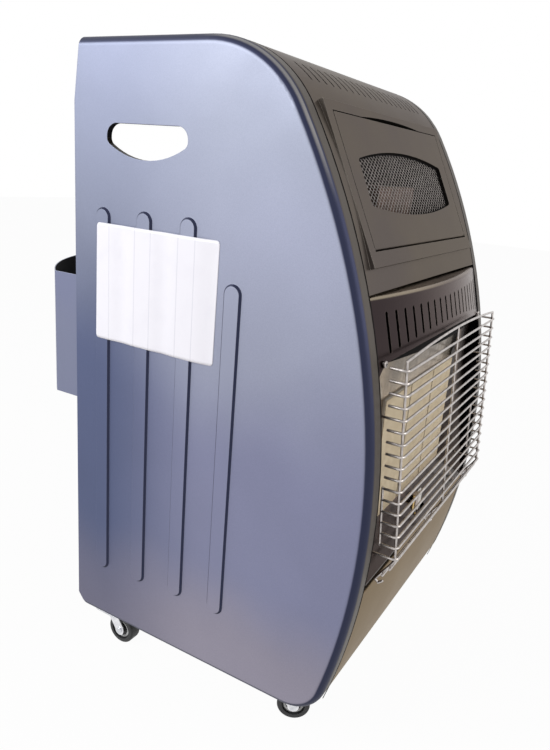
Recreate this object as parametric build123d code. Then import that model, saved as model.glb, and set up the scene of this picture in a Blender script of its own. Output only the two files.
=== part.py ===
from build123d import *
import math
import os

# Portable gas cabinet heater. X to the right, -Y to the front, Z up, floor at Z = 0.

# ---- Driving dimensions, in mm ----

# Cabinet
WIDTH = 420.0                # over the flat faces of the side panels
HEIGHT = 750.0               # floor to the flat top
SHEET = 1.2                  # sheet metal of every panel
REAR_Y = 139.0               # rear edge of the side panels
BOTTOM_Z = 46.6              # underside of the cabinet
BELLY_FRONT_Y = -255.0       # foremost line of the bulged front
BELLY_LEVEL = HEIGHT - 461.0     # height of that line
BELLY_RADIUS = 772.0
TOP_RADIUS = 125.0           # from the bulged front to the flat top
FOOT_RADIUS = 50.0           # from the bulged front to the underside
REAR_CHAMFER = 15.0          # rear lower corner, along Y
REAR_CHAMFER_RISE = 18.4     # the same corner, along Z
TOP_LEAN = 8.0               # the top of the rear edge leans forward
TOP_LEAN_RISE = 64.0         # height of the leaning stretch
FLANGE = 24.0                # side panel flange, round the front, top, rear and bottom
EDGE_ROUND = 10.0            # rounding between a side panel and its flange
SEAM_GAP = 0.5               # between a flange and the panel beside it
RETURN = 12.0                # fold at the side edges of the front panels
FIT_GAP = 0.2                # between sheets that lie on each other

# Side panel details
RIB_WIDTH = 22.0
RIB_HEIGHT = 2.5
RIB_SLOPE = 42.0             # degrees, of the rib's flanks
RIB_Y = (96.0, 37.0, -22.0, -81.0)
RIB_TOP = (HEIGHT - 173.0, HEIGHT - 172.0, HEIGHT - 172.0, HEIGHT - 232.0)
RIB_BOTTOM = (120.0, 123.0, 127.0, 127.5)
HANDLE_FRONT_Y = -17.0
HANDLE_REAR_Y = 91.0
HANDLE_TOP_Z = HEIGHT - 85.0
HANDLE_SIDE = 19.0           # straight height of its ends
HANDLE_SAG = 16.5            # arch of its lower edge
HANDLE_CORNER = 13.0
HANDLE_LOW_CORNER = 8.0
HANDLE_LIP = 6.0             # fold inward round the hand hole
LABEL_LENGTH = 165.0
LABEL_HEIGHT = 132.0
LABEL_CENTRE = (21.0, HEIGHT - 256.5)
LABEL_CORNER = 5.0
LABEL_THICKNESS = 0.3

# Upper panel and its flap
UPPER_BOTTOM_Z = HEIGHT - 225.0
FIELD_HALF = WIDTH / 2 - 38.0     # raised flat field in the upper panel
FIELD_LOW_Z = HEIGHT - 201.0
FIELD_HIGH_Z = HEIGHT - 51.0
FIELD_RAISE = 0.5
FLAP_HALF = WIDTH / 2 - 52.0     # opening for the flap
FLAP_LOW_Z = HEIGHT - 187.0
FLAP_HIGH_Z = HEIGHT - 60.0
FLAP_GAP = 1.2
FLAP_DEPTH = 9.0
FLAP_FOLD_RADIUS = 3.0
OPENING_LIP = 12.0
HINGE_INSET = 4.5            # hinge axis from the flap's lower edge and from its face
HINGE_PIN_RADIUS = 1.5
HINGE_PIN_LENGTH = 14.0
RUNNING_GAP = 0.05           # radial, in every turning or sliding fit
WINDOW_HALF = WIDTH / 2 - 79.0
WINDOW_SIDE_LOW_Z = HEIGHT - 146.0
WINDOW_SIDE_HIGH_Z = HEIGHT - 102.0
WINDOW_LOW_Z = HEIGHT - 156.0
WINDOW_HIGH_Z = HEIGHT - 91.0
WINDOW_CORNER = 5.0
WINDOW_LIP = 4.0
MESH_THICKNESS = 0.8
MESH_BORDER = 5.0
MESH_PITCH = 14.0            # diamonds, along X
MESH_ROW = 4.0               # half the pitch up the slope
MESH_STRAND = 1.3
SCOOP_HALF = 90.0
SCOOP_RISE = 3.5
SCOOP_DEPTH = 8.0
MAGNET_LENGTH = 30.0
MAGNET_HEIGHT = 8.0
MAGNET_INSET = 38.0          # magnet's middle from the end of the flap's opening
VENT_COUNT = 20
VENT_MARGIN = 54.2            # cabinet's side to the middle of the last vent
VENT_WIDTH = 2.8
VENT_LENGTH = 28.5
VENT_ANGLE = 126.8           # degrees round the top rounding, from +Y

# Slotted visor
HOOD_TOP_Z = HEIGHT - 227.0
HOOD_SAG = 17.5              # how far its middle stands in front of its ends
HOOD_LOW_Z = HEIGHT - 310.0
HOOD_EDGE_ROUND = 6.0
HOOD_SHELF_Y = -204.0        # rear edge of its top, under the upper panel
ARCH_Z = HEIGHT - 279.4     # middle of the lower edge
ARCH_HALF = WIDTH / 2 - 49.0
ARCH_SAG = 9.6
ARCH_CORNER_DROP = 14.5      # from the arch's end to the seam
HOOD_SLOT_COUNT = 18
HOOD_SLOT_MARGIN = 50.2       # cabinet's side to the middle of the last slot
HOOD_SLOT_WIDTH = 5.0
HOOD_SLOT_TOP_Z = HEIGHT - 242.0
HOOD_SLOT_LOW_Z = HEIGHT - 270.0
HOOD_SLOT_RADIUS = 1030.0    # arc that the lower slot ends lie on
HOOD_SCREW_X = WIDTH / 2 - 35.0
HOOD_SCREW_Z = HEIGHT - 290.0
SCREW_HEAD_RADIUS = 3.6
SCREW_HEAD_HEIGHT = 1.8

# Burners
PLAQUE_FACE_Y = -226.6
BURNER_PITCH = 82.0
BURNER_GAP = 1.2             # between neighbouring burner bodies
BURNER_LOW_Z = HEIGHT - 493.0
BURNER_HIGH_Z = HEIGHT - 344.0
BURNER_DEPTH = 42.0
BURNER_WALL = 1.0
PLAQUE_THICKNESS = 12.0
PLAQUE_GAP = 0.3
VENTURI_RADIUS = 9.0
VENTURI_BACK = 26.0          # its axis behind the plaque face
VENTURI_LOW_Z = HEIGHT - 521.0
MANIFOLD_RADIUS = 7.0
MANIFOLD_Z = HEIGHT - 543.0
MANIFOLD_LENGTH = WIDTH - 130.0
INJECTOR_RADIUS = 4.0
INJECTOR_BORE = 0.8
RAIL_DEPTH = 36.0
RAIL_FLANGE = 20.0
RAIL_SHEET = 1.5
SADDLE_X = 50.0
SADDLE_WIDTH = 12.0

# Reflector box
REFLECTOR_FRONT_LOW = (-249.0, HEIGHT - 533.0)    # Y and Z of its front edge, bottom
REFLECTOR_FRONT_HIGH = (-226.0, HEIGHT - 266.0)   # and top
REFLECTOR_BACK_Y = -223.0
REFLECTOR_CUT_SHARE = 0.05    # how far the cut runs past both ends

# Lower front panel
LOWER_TOP_Z = HEIGHT - 537.0
LOWER_LIP = 9.0
LOWER_LIP_ROUND = 3.0

# Wire guard
WIRE_RADIUS = 1.4
WIRE_COUNT = 17
WIRE_TOP_Z = HEIGHT - 292.8
WIRE_PITCH = 12.75
WIRE_BEND = 5.0
WELD_SPACING = 2.38
GUARD_TOP_Y = -262.0
GUARD_BOTTOM_Y = -275.5
GUARD_TOP_HALF = WIDTH / 2 - 36.0
GUARD_BOTTOM_HALF = WIDTH / 2 - 42.0
GUARD_LEG = 18.0
GUARD_REAR_LEG = 20.0
GUARD_FIXING_END_Y = -238.0
GUARD_FIXING_WIRES = (4, 16)
GUARD_TIED_WIRES = (10, 15)
GUARD_ARCH_RISE = 7.0
GUARD_CORNER_RISE = 9.0
GUARD_SLANT = ((-268.5, HEIGHT - 507.5), (-261.5, HEIGHT - 517.5), (-254.5, HEIGHT - 528.5))
GUARD_HOOK = ((-258.5, HEIGHT - 531.5), (-263.0, HEIGHT - 528.0))

# Inside
SHIELD_Y = -75.0
SHIELD_HIGH_Z = HEIGHT - 82.0
SHIELD_FLANGE = 14.0
DUCT_HALF = 56.0
DUCT_FRONT_Y = -163.0
DUCT_LOW_Z = HEIGHT - 210.0
DUCT_HIGH_Z = HEIGHT - 128.0
TRAY_SETBACK = 48.0          # tray's front edge behind the foot of the bulge
TRAY_REAR_Y = 118.0
TRAY_FLANGE = 22.0
REAR_PANEL_LOW_Z = HEIGHT - 130.0      # lower ends of its two ears
REAR_EAR_WIDTH = 15.5
REAR_RAIL_LOW_Z = HEIGHT - 28.0        # lower edge between the ears
REAR_RAIL_LIP = 10.0
REAR_PANEL_VENTS = 5
REAR_PANEL_VENT_PITCH = 62.0
REAR_PANEL_VENT_LENGTH = 44.0
REAR_PANEL_VENT_WIDTH = 5.0
REAR_PANEL_VENT_Z = HEIGHT - 16.0

# Controls on the top
KNOB_X = -88.0
KNOB_Y = 35.0
KNOB_RADIUS = 25.0
KNOB_TOP_Z = HEIGHT + 17.0
KNOB_HEIGHT = 10.0
KNOB_GRIPS = 12
KNOB_GRIP_RADIUS = 2.4
KNOB_EDGE_ROUND = 0.8
STEM_RADIUS = 4.0
STEM_TRAVEL = 5.0
STEM_HOLE_GAP = 1.5
BUTTON_X = -28.0
BUTTON_RADIUS = 11.0
BUTTON_TOP_Z = HEIGHT + 20.0
BUTTON_TRAVEL = 5.0
COLLAR_RADIUS = 16.5
COLLAR_TOP_Z = HEIGHT + 18.0
IGNITER_RADIUS = 9.0
IGNITER_LENGTH = 64.0
PLATE_MARGIN = 15.0
PLATE_THICKNESS = 1.2
PLATE_CORNER = 10.0
VALVE_WIDTH = 50.0
VALVE_DEPTH = 40.0
VALVE_HEIGHT = 54.0
NOZZLE_RADIUS = 4.5
NOZZLE_LENGTH = 20.0
NOZZLE_COLLAR_RADIUS = 7.0
NOZZLE_COLLAR_LENGTH = 8.0
NOZZLE_BORE = 2.5
NOZZLE_RISE = 3.0            # collar above the valve's underside

# Pilot
PILOT_X = 10.0
PILOT_Y = -238.0
PILOT_RADIUS = 4.0
PILOT_TOP_Z = HEIGHT - 503.0
PILOT_SHELF_Z = HEIGHT - 524.0     # bracket that carries pilot, electrode and thermocouple
PILOT_SPACING = 12.0
PILOT_HOOD = 7.0
ELECTRODE_RADIUS = 2.5
ELECTRODE_TIP_RADIUS = 0.8

# Pipes and leads
MAIN_PIPE_RADIUS = 4.0
PILOT_PIPE_RADIUS = 2.0
LEAD_RADIUS = 1.5
PIPE_BEND = 14.0
PIPE_DROP_Y = -95.0          # the pipes come down in front of the heat shield
MAIN_DROP_X = 34.0 - WIDTH / 2
PIPE_DROP_PITCH = 13.0       # between the upright runs
PORT_DEPTH = 26.6            # highest port, below the valve's top
PORT_PITCH = 9.0             # between the ports' levels
LEAD_LEVEL_Z = HEIGHT - 570.0     # the leads run under the manifold at this height

# Rear cover
COVER_HALF = WIDTH / 2 - 3.0
COVER_LOW_Z = HEIGHT - 406.3
COVER_HIGH_Z = HEIGHT - 255.0
COVER_SIDE = 38.0            # straight side walls, along Y
COVER_CREST = 100.0          # height of the curve beyond them
HOOK_ARM = 12.0
HOOK_DROP = 15.0
HOOK_THICKNESS = 2.0
HOOK_REACH = 8.0
HOOK_GAP = 0.5
HOOK_INSET = 22.0            # from the cover's upper and lower edge

# Casters
WHEEL_RADIUS = 20.0
WHEEL_WIDTH = 17.0
WHEEL_GAP = 1.0
TRAIL = 16.3                 # swivel axis to axle
REAR_PIVOT = (WIDTH / 2 - 26.0, 96.0)
FRONT_PIVOT = (WIDTH / 2 - 36.0, -161.0)
FRONT_CASTER_TURN = 25.0     # degrees, the front wheels point inward
CASTER_PLATE = 40.0
CASTER_PLATE_THICKNESS = 2.0
KINGPIN_RADIUS = 4.0
FORK_SHEET = 1.5
FORK_CROWN_RADIUS = 13.0
FORK_EAR_RADIUS = 7.0
AXLE_RADIUS = 2.5
AXLE_HEAD_RADIUS = 4.2
AXLE_HEAD = 1.6
CASTER_SCREW_INSET = 5.5
CASTER_SCREW_RADIUS = 2.0
CASTER_SCREW_HEAD = 1.2
CASTER_SCREW_HEAD_RADIUS = 3.4
CASTER_BOSS = 1.2
SWIVEL_GAP = 0.3
WHEEL_EDGE_ROUND = 2.5
WHEEL_RECESS = 3.0
WHEEL_RECESS_RADIUS = 14.0
WHEEL_HUB_RADIUS = 6.0

# ---- Places that follow from them ----

HALF = WIDTH / 2
SEAM_X = HALF - FLANGE
PANEL_HALF = SEAM_X - SEAM_GAP
INNER_HALF = HALF - SHEET
BELLY_CENTRE = (BELLY_FRONT_Y + BELLY_RADIUS, BELLY_LEVEL)
BELLY_FOOT_Y = BELLY_CENTRE[0] - math.sqrt(BELLY_RADIUS**2 - (BELLY_LEVEL - BOTTOM_Z) ** 2)
TRAY_FRONT_Y = BELLY_FOOT_Y + TRAY_SETBACK
VENT_PITCH = (WIDTH - 2 * VENT_MARGIN) / (VENT_COUNT - 1)
HOOD_SLOT_PITCH = (WIDTH - 2 * HOOD_SLOT_MARGIN) / (HOOD_SLOT_COUNT - 1)


def tangent_centre(radius, z):
    """Centre (Y, Z) of a rounding that lies at height z and touches the bulged front from inside."""
    reach = BELLY_RADIUS - radius
    rise = z - BELLY_LEVEL
    return BELLY_CENTRE[0] - math.sqrt(reach**2 - rise**2), z


TOP_CENTRE = tangent_centre(TOP_RADIUS, HEIGHT - TOP_RADIUS)
FOOT_CENTRE = tangent_centre(FOOT_RADIUS, BOTTOM_Z + FOOT_RADIUS)


def belly_y(z, inset=0.0):
    """Y of the bulged front at height z, on the surface that lies inset mm inside it."""
    return BELLY_CENTRE[0] - math.sqrt((BELLY_RADIUS - inset) ** 2 - (z - BELLY_LEVEL) ** 2)


def angle_from_belly(centre):
    """Direction from the centre of the bulged front to another centre, in degrees."""
    return math.degrees(math.atan2(centre[1] - BELLY_CENTRE[1], centre[0] - BELLY_CENTRE[0])) % 360


def side_face(inset=0.0):
    """The cabinet's side outline in the YZ plane, moved inward by inset."""
    top_angle = angle_from_belly(TOP_CENTRE)
    foot_angle = angle_from_belly(FOOT_CENTRE)
    rear = REAR_Y - inset
    top = HEIGHT - inset
    bottom = BOTTOM_Z + inset
    kink = (rear, HEIGHT - TOP_LEAN_RISE)
    outline = Curve() + [
        CenterArc(TOP_CENTRE, TOP_RADIUS - inset, 90, top_angle - 90),
        CenterArc(BELLY_CENTRE, BELLY_RADIUS - inset, top_angle, foot_angle - top_angle),
        CenterArc(FOOT_CENTRE, FOOT_RADIUS - inset, foot_angle, 270 - foot_angle),
        Line((FOOT_CENTRE[0], bottom), (rear - REAR_CHAMFER, bottom)),
        Line((rear - REAR_CHAMFER, bottom), (rear, bottom + REAR_CHAMFER_RISE)),
        Line((rear, bottom + REAR_CHAMFER_RISE), kink),
        Line(kink, (rear - TOP_LEAN, top)),
        Line((rear - TOP_LEAN, top), (TOP_CENTRE[0], top)),
    ]
    return Plane.YZ * make_face(outline)


def block(x0, x1, y0, y1, z0, z1):
    """Box between two corners."""
    size = (x1 - x0, y1 - y0, z1 - z0)
    middle = ((x0 + x1) / 2, (y0 + y1) / 2, (z0 + z1) / 2)
    return Pos(*middle) * Box(*size)


def rod(radius, start, end):
    """Round bar between two points."""
    direction = Vector(*end) - Vector(*start)
    return Plane(origin=start, z_dir=direction) * Cylinder(
        radius, direction.length, align=(Align.CENTER, Align.CENTER, Align.MIN)
    )


def post(radius, x, y, z0, z1):
    """Upright round bar."""
    return rod(radius, (x, y, z0), (x, y, z1))


def skin(depth=SHEET):
    """The panels' sheet between the side seams, all the way round the cabinet."""
    outer = extrude(side_face(), PANEL_HALF, both=True)
    inner = extrude(side_face(depth), PANEL_HALF, both=True)
    return outer - inner


def panel_returns():
    """The folds at both side edges of the panels, all the way round the cabinet."""
    ring = extrude(side_face(), SHEET) - extrude(side_face(RETURN), SHEET)
    return Pos(-PANEL_HALF, 0, 0) * ring + Pos(PANEL_HALF - SHEET, 0, 0) * ring


# ---- Side panels ----


def pan(inset, round_radius):
    """A closed slab with the side outline and a rounded outer edge, for the left side."""
    slab = Pos(-HALF + inset, 0, 0) * extrude(side_face(inset), FLANGE)
    face = slab.faces().sort_by(Axis.X)[0]
    rounded = face.edges().filter_by(lambda edge: edge.center().Y < REAR_Y - REAR_CHAMFER)
    return fillet(rounded, round_radius)


def rib_slab(index, grow, height):
    """One rib's raised slot, for the left side; grow widens it, and it rises outward."""
    length = RIB_TOP[index] - RIB_BOTTOM[index] + 2 * grow
    centre_z = (RIB_TOP[index] + RIB_BOTTOM[index]) / 2
    base = Plane(origin=(-HALF, RIB_Y[index], centre_z), x_dir=(0, 0, 1), z_dir=(-1, 0, 0))
    return extrude(base * SlotOverall(length, RIB_WIDTH + 2 * grow), height, taper=RIB_SLOPE)


def handle_face(grow=0.0):
    """Outline of the hand hole: flat top, arched lower edge."""
    low_side = HANDLE_TOP_Z - HANDLE_SIDE
    middle_y = (HANDLE_FRONT_Y + HANDLE_REAR_Y) / 2
    outline = Curve() + [
        Line((HANDLE_FRONT_Y, low_side), (HANDLE_FRONT_Y, HANDLE_TOP_Z)),
        Line((HANDLE_FRONT_Y, HANDLE_TOP_Z), (HANDLE_REAR_Y, HANDLE_TOP_Z)),
        Line((HANDLE_REAR_Y, HANDLE_TOP_Z), (HANDLE_REAR_Y, low_side)),
        ThreePointArc(
            (HANDLE_REAR_Y, low_side), (middle_y, low_side - HANDLE_SAG), (HANDLE_FRONT_Y, low_side)
        ),
    ]
    face = make_face(outline)
    by_height = face.vertices().sort_by(Axis.Y)
    face = fillet(by_height[2:], HANDLE_CORNER)
    by_height = face.vertices().sort_by(Axis.Y)
    face = fillet(by_height[:2], HANDLE_LOW_CORNER)
    if grow:
        face = offset(face, grow)
    return Plane.YZ * face


def side_panel_left():
    """Pan of thin sheet with four hollow ribs, a lipped hand hole and slots for the rear cover."""
    body = pan(0.0, EDGE_ROUND) - pan(SHEET, EDGE_ROUND - SHEET)
    for index in range(len(RIB_Y)):
        body += rib_slab(index, 0.0, RIB_HEIGHT)
        body -= Pos(SHEET, 0, 0) * rib_slab(index, -SHEET / 2, RIB_HEIGHT)
    lip = extrude(handle_face(SHEET), HANDLE_LIP + SHEET)
    body += Pos(-HALF, 0, 0) * lip
    body -= Pos(-HALF - SHEET, 0, 0) * extrude(handle_face(), HANDLE_LIP + 3 * SHEET)
    for low_z in hook_levels():
        slot_low = low_z - HOOK_GAP
        slot_high = low_z + HOOK_ARM + HOOK_DROP + HOOK_GAP
        hook_x = COVER_HALF - SHEET
        body -= block(
            -hook_x - HOOK_GAP,
            -hook_x + HOOK_THICKNESS + HOOK_GAP,
            REAR_Y - 2 * SHEET,
            REAR_Y + SHEET,
            slot_low,
            slot_high,
        )
    return body


def label_plate():
    """Blank label on the left side, lying over the ribs."""
    u, v = LABEL_CENTRE
    face = Plane.YZ * Pos(u, v) * RectangleRounded(LABEL_LENGTH, LABEL_HEIGHT, LABEL_CORNER)
    reach = RIB_HEIGHT + LABEL_THICKNESS
    stamp = Pos(-HALF - 2 * reach, 0, 0) * extrude(face, 2 * reach)
    sheet = block(-HALF - LABEL_THICKNESS, -HALF, -HALF, HALF, BOTTOM_Z, HEIGHT)
    ribs = [rib_slab(index, 0.0, RIB_HEIGHT) for index in range(len(RIB_Y))]
    for rib in ribs:
        sheet += Pos(-LABEL_THICKNESS, 0, 0) * rib
    for rib in ribs:
        sheet -= rib
    pieces = (sheet & stamp).solids().sort_by(SortBy.VOLUME)
    return pieces[-1]


# ---- Upper panel and flap ----


def field_plane():
    """Plane of the raised field: it touches the bulged front at the field's middle height."""
    z = (FIELD_LOW_Z + FIELD_HIGH_Z) / 2
    y = belly_y(z)
    normal = (0, (y - BELLY_CENTRE[0]) / BELLY_RADIUS, (z - BELLY_CENTRE[1]) / BELLY_RADIUS)
    return Plane(origin=(0, y, z), x_dir=(1, 0, 0), z_dir=normal)


FIELD = field_plane()


def up_slope(z):
    """Distance up the field from its middle for a height z."""
    return (z - FIELD.origin.Z) / FIELD.y_dir.Z


def field_box(half, low, high, back, front):
    """Box in the field's plane, from low to high up the slope and from back to front across it."""
    local = block(-half, half, low, high, back, front)
    return FIELD * local


def scoop_face(grow=0.0):
    """Lens above the flap's upper edge, where the fingers go."""
    base = up_slope(FLAP_HIGH_Z)
    left = (-SCOOP_HALF - grow, base)
    right = (SCOOP_HALF + grow, base)
    arc = ThreePointArc(left, (0, base + SCOOP_RISE + grow), right)
    low_left = (left[0], base - grow - SHEET)
    low_right = (right[0], base - grow - SHEET)
    sides = [Line(left, low_left), Line(low_left, low_right), Line(low_right, right)]
    return make_face(Curve() + [arc] + sides)


def upper_panel():
    """Sheet from the visor over the rounding and the flat top to the rear, with its side folds."""
    low = up_slope(FIELD_LOW_Z)
    high = up_slope(FIELD_HIGH_Z)
    flap_low = up_slope(FLAP_LOW_Z)
    flap_high = up_slope(FLAP_HIGH_Z)
    rear = REAR_Y - TOP_LEAN - 2 * SHEET
    outer = extrude(side_face(), PANEL_HALF, both=True)
    outer += field_box(FIELD_HALF, low, high, -RETURN / 2, FIELD_RAISE)
    inner = extrude(side_face(SHEET), PANEL_HALF, both=True)
    inner += field_box(
        FIELD_HALF - SHEET, low + SHEET, high - SHEET, -RETURN / 2, FIELD_RAISE - SHEET
    )
    zone = block(-HALF, HALF, -2 * HALF, rear, UPPER_BOTTOM_Z, HEIGHT)
    panel = (outer - inner + panel_returns()) & zone
    panel -= block(-HALF, HALF, TOP_CENTRE[0], rear, UPPER_BOTTOM_Z, HEIGHT - RETURN)
    panel += block(-PANEL_HALF, PANEL_HALF, rear - SHEET, rear, HEIGHT - RETURN, HEIGHT)
    panel += field_box(
        FLAP_HALF + SHEET, flap_low - SHEET, flap_high + SHEET, -OPENING_LIP, FIELD_RAISE - SHEET
    )
    scoop = FIELD * extrude(scoop_face(SHEET), -SCOOP_DEPTH - SHEET)
    scoop_hole = FIELD * Pos(0, 0, SHEET) * extrude(scoop_face(), -SCOOP_DEPTH - SHEET)
    panel = panel + scoop - scoop_hole
    panel -= field_box(FLAP_HALF, flap_low, flap_high, -2 * OPENING_LIP, OPENING_LIP)
    for x in vent_places():
        panel -= vent_cutter(x)
    for x, radius in top_holes():
        panel -= post(radius, x, KNOB_Y, HEIGHT - RETURN, HEIGHT + RETURN)
    for side in (-1, 1):
        panel -= hinge_bore(side, HINGE_PIN_RADIUS + FIT_GAP / 10)
    return panel


def vent_places():
    """X of each vent slot in the top rounding."""
    first = -VENT_PITCH * (VENT_COUNT - 1) / 2
    return [first + VENT_PITCH * index for index in range(VENT_COUNT)]


def vent_cutter(x):
    """One slot, square to the top rounding."""
    angle = math.radians(VENT_ANGLE)
    normal = (0, math.cos(angle), math.sin(angle))
    origin = (
        x,
        TOP_CENTRE[0] + TOP_RADIUS * math.cos(angle),
        TOP_CENTRE[1] + TOP_RADIUS * math.sin(angle),
    )
    plane = Plane(origin=origin, x_dir=(1, 0, 0), z_dir=normal)
    slot = plane * SlotOverall(VENT_LENGTH, VENT_WIDTH, rotation=90)
    return extrude(slot, RETURN / 2, both=True)


def top_holes():
    """X and radius of the holes in the flat top, for the valve stem and the igniter."""
    return [(KNOB_X, STEM_RADIUS + STEM_HOLE_GAP), (BUTTON_X, IGNITER_RADIUS + FIT_GAP)]


def hinge_height():
    """Place of the hinge axis up the field, from its middle."""
    return up_slope(FLAP_LOW_Z) + FLAP_GAP + HINGE_INSET


def hinge_depth():
    """Place of the hinge axis across the field; negative is inside."""
    return FIELD_RAISE - HINGE_INSET


def hinge_bore(side, radius):
    """Bar along the hinge axis, through the flap's side fold and the opening's lip."""
    inner = FLAP_HALF - HINGE_PIN_LENGTH / 2
    outer = FLAP_HALF + HINGE_PIN_LENGTH / 2
    start = (side * inner, hinge_height(), hinge_depth())
    end = (side * outer, hinge_height(), hinge_depth())
    local = Plane(origin=start, z_dir=(side, 0, 0)) * Cylinder(
        radius, abs(end[0] - start[0]), align=(Align.CENTER, Align.CENTER, Align.MIN)
    )
    return FIELD * local


def flap_hinge_pins():
    """Two short pins, held in the lip of the opening."""
    return [hinge_bore(side, HINGE_PIN_RADIUS) for side in (-1, 1)]


def window_face(grow=0.0):
    """Outline of the flap's window: slanted ends, arched top and bottom."""
    low = up_slope(WINDOW_SIDE_LOW_Z)
    high = up_slope(WINDOW_SIDE_HIGH_Z)
    outline = Curve() + [
        Line((-WINDOW_HALF, high), (-WINDOW_HALF, low)),
        ThreePointArc((-WINDOW_HALF, low), (0, up_slope(WINDOW_LOW_Z)), (WINDOW_HALF, low)),
        Line((WINDOW_HALF, low), (WINDOW_HALF, high)),
        ThreePointArc((WINDOW_HALF, high), (0, up_slope(WINDOW_HIGH_Z)), (-WINDOW_HALF, high)),
    ]
    face = make_face(outline)
    face = fillet(face.vertices(), WINDOW_CORNER)
    if grow:
        face = offset(face, grow)
    return face


def outlet_flap():
    """Shallow pan with a lipped window, hinged at its lower edge."""
    half = FLAP_HALF - FLAP_GAP
    low = up_slope(FLAP_LOW_Z) + FLAP_GAP
    high = up_slope(FLAP_HIGH_Z) - FLAP_GAP
    back = FIELD_RAISE - FLAP_DEPTH
    slab = block(-half, half, low, high, back, FIELD_RAISE)
    front = slab.faces().sort_by(Axis.Z)[-1]
    slab = fillet(front.edges().sort_by(Axis.Y)[0], FLAP_FOLD_RADIUS)
    inner_half = half - SHEET
    hollow = block(-inner_half, inner_half, low + SHEET, high - SHEET, 2 * back, FIELD_RAISE - SHEET)
    hollow_front = hollow.faces().sort_by(Axis.Z)[-1]
    hollow = fillet(hollow_front.edges().sort_by(Axis.Y)[0], FLAP_FOLD_RADIUS - SHEET)
    flap = slab - hollow
    lip = Pos(0, 0, FIELD_RAISE - WINDOW_LIP) * extrude(window_face(SHEET), WINDOW_LIP)
    flap += lip
    flap -= extrude(window_face(), FLAP_DEPTH, both=True)
    flap = FIELD * flap
    for side in (-1, 1):
        flap -= hinge_bore(side, HINGE_PIN_RADIUS + RUNNING_GAP)
    return flap


def window_mesh():
    """Expanded metal behind the window: one flat sheet with diamond holes in staggered rows."""
    sheet = window_face(MESH_BORDER)
    low = up_slope(WINDOW_LOW_Z)
    high = up_slope(WINDOW_HIGH_Z)
    rows = int((high - low) / 2 / MESH_ROW)
    columns = int(WINDOW_HALF / MESH_PITCH) + 1
    middle = (low + high) / 2
    diamond = Polygon(
        (MESH_PITCH / 2 - MESH_STRAND, 0),
        (0, MESH_ROW - MESH_STRAND / 2),
        (MESH_STRAND - MESH_PITCH / 2, 0),
        (0, MESH_STRAND / 2 - MESH_ROW),
        align=None,
    )
    opening = window_face()
    holes = []
    for row in range(-rows, rows + 1):
        shift = MESH_PITCH / 2 if row % 2 else 0.0
        for column in range(-columns, columns + 1):
            centre = Vector(column * MESH_PITCH + shift, middle + row * MESH_ROW)
            if opening.is_inside(centre):
                holes.append(Pos(centre.X, centre.Y) * diamond)
    net = sheet - holes
    place = FIELD_RAISE - WINDOW_LIP - FIT_GAP
    return FIELD * Pos(0, 0, place) * extrude(net, -MESH_THICKNESS)


def flap_magnet():
    """Magnetic catch on the upper lip of the opening; it meets the back of the flap."""
    high = up_slope(FLAP_HIGH_Z)
    front = FIELD_RAISE - FLAP_DEPTH - FIT_GAP
    middle = FLAP_HALF - MAGNET_INSET
    local = block(
        middle - MAGNET_LENGTH / 2,
        middle + MAGNET_LENGTH / 2,
        high - MAGNET_HEIGHT,
        high - FIT_GAP,
        front - MAGNET_HEIGHT,
        front,
    )
    return FIELD * local


# ---- Slotted visor ----


def hood_plane():
    """Frame of the visor at its top: local Z runs up its sloping front."""
    low_y = belly_y(HOOD_LOW_Z)
    high_y = belly_y(HOOD_TOP_Z)
    slope = Vector(0, high_y - low_y, HOOD_TOP_Z - HOOD_LOW_Z)
    return Plane(origin=(0, high_y, HOOD_TOP_Z), x_dir=(1, 0, 0), z_dir=slope.normalized())


def hood_block(inset, top):
    """Solid under the visor's surface: bowed front, flat back."""
    half = PANEL_HALF - inset
    bow = make_face(
        Curve()
        + [
            ThreePointArc((-half, inset), (0, inset - HOOD_SAG), (half, inset)),
            Line((half, inset), (half, 4 * HOOD_SAG)),
            Line((half, 4 * HOOD_SAG), (-half, 4 * HOOD_SAG)),
            Line((-half, 4 * HOOD_SAG), (-half, inset)),
        ]
    )
    tall = extrude(hood_plane() * Pos(0, 0, HOOD_SAG) * bow, -(HOOD_TOP_Z - HOOD_LOW_Z) * 1.4)
    cut = block(-HALF, HALF, -2 * HALF, HOOD_SHELF_Y + inset * 3, HOOD_LOW_Z - inset, top)
    solid = tall & cut
    top_face = solid.faces().sort_by(Axis.Z)[-1]
    front = top_face.edges().sort_by(Axis.Y)[0]
    return fillet(front, HOOD_EDGE_ROUND - inset)


def arch_cutter():
    """Everything under the visor's lower edge."""
    end_z = ARCH_Z - ARCH_SAG
    seam_z = end_z - ARCH_CORNER_DROP
    bend = (ARCH_HALF + 0.58 * (SEAM_X - ARCH_HALF), end_z - 0.33 * ARCH_CORNER_DROP)
    low = HOOD_LOW_Z - FLANGE
    outline = Curve() + [
        ThreePointArc((-ARCH_HALF, end_z), (0, ARCH_Z), (ARCH_HALF, end_z)),
        ThreePointArc((ARCH_HALF, end_z), bend, (SEAM_X, seam_z)),
        Line((SEAM_X, seam_z), (SEAM_X, low)),
        Line((SEAM_X, low), (-SEAM_X, low)),
        Line((-SEAM_X, low), (-SEAM_X, seam_z)),
        ThreePointArc((-SEAM_X, seam_z), (-bend[0], bend[1]), (-ARCH_HALF, end_z)),
    ]
    return extrude(Plane.XZ * make_face(outline), 2 * HALF)


def hood_front_y(x, z):
    """Y of the visor's outer surface."""
    plane = hood_plane()
    radius = (PANEL_HALF**2 + HOOD_SAG**2) / (2 * HOOD_SAG)
    bow = math.sqrt(radius**2 - x**2) - (radius - HOOD_SAG)
    along = (z - plane.origin.Z) / plane.z_dir.Z
    return plane.origin.Y + along * plane.z_dir.Y - bow / plane.z_dir.Z


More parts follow.
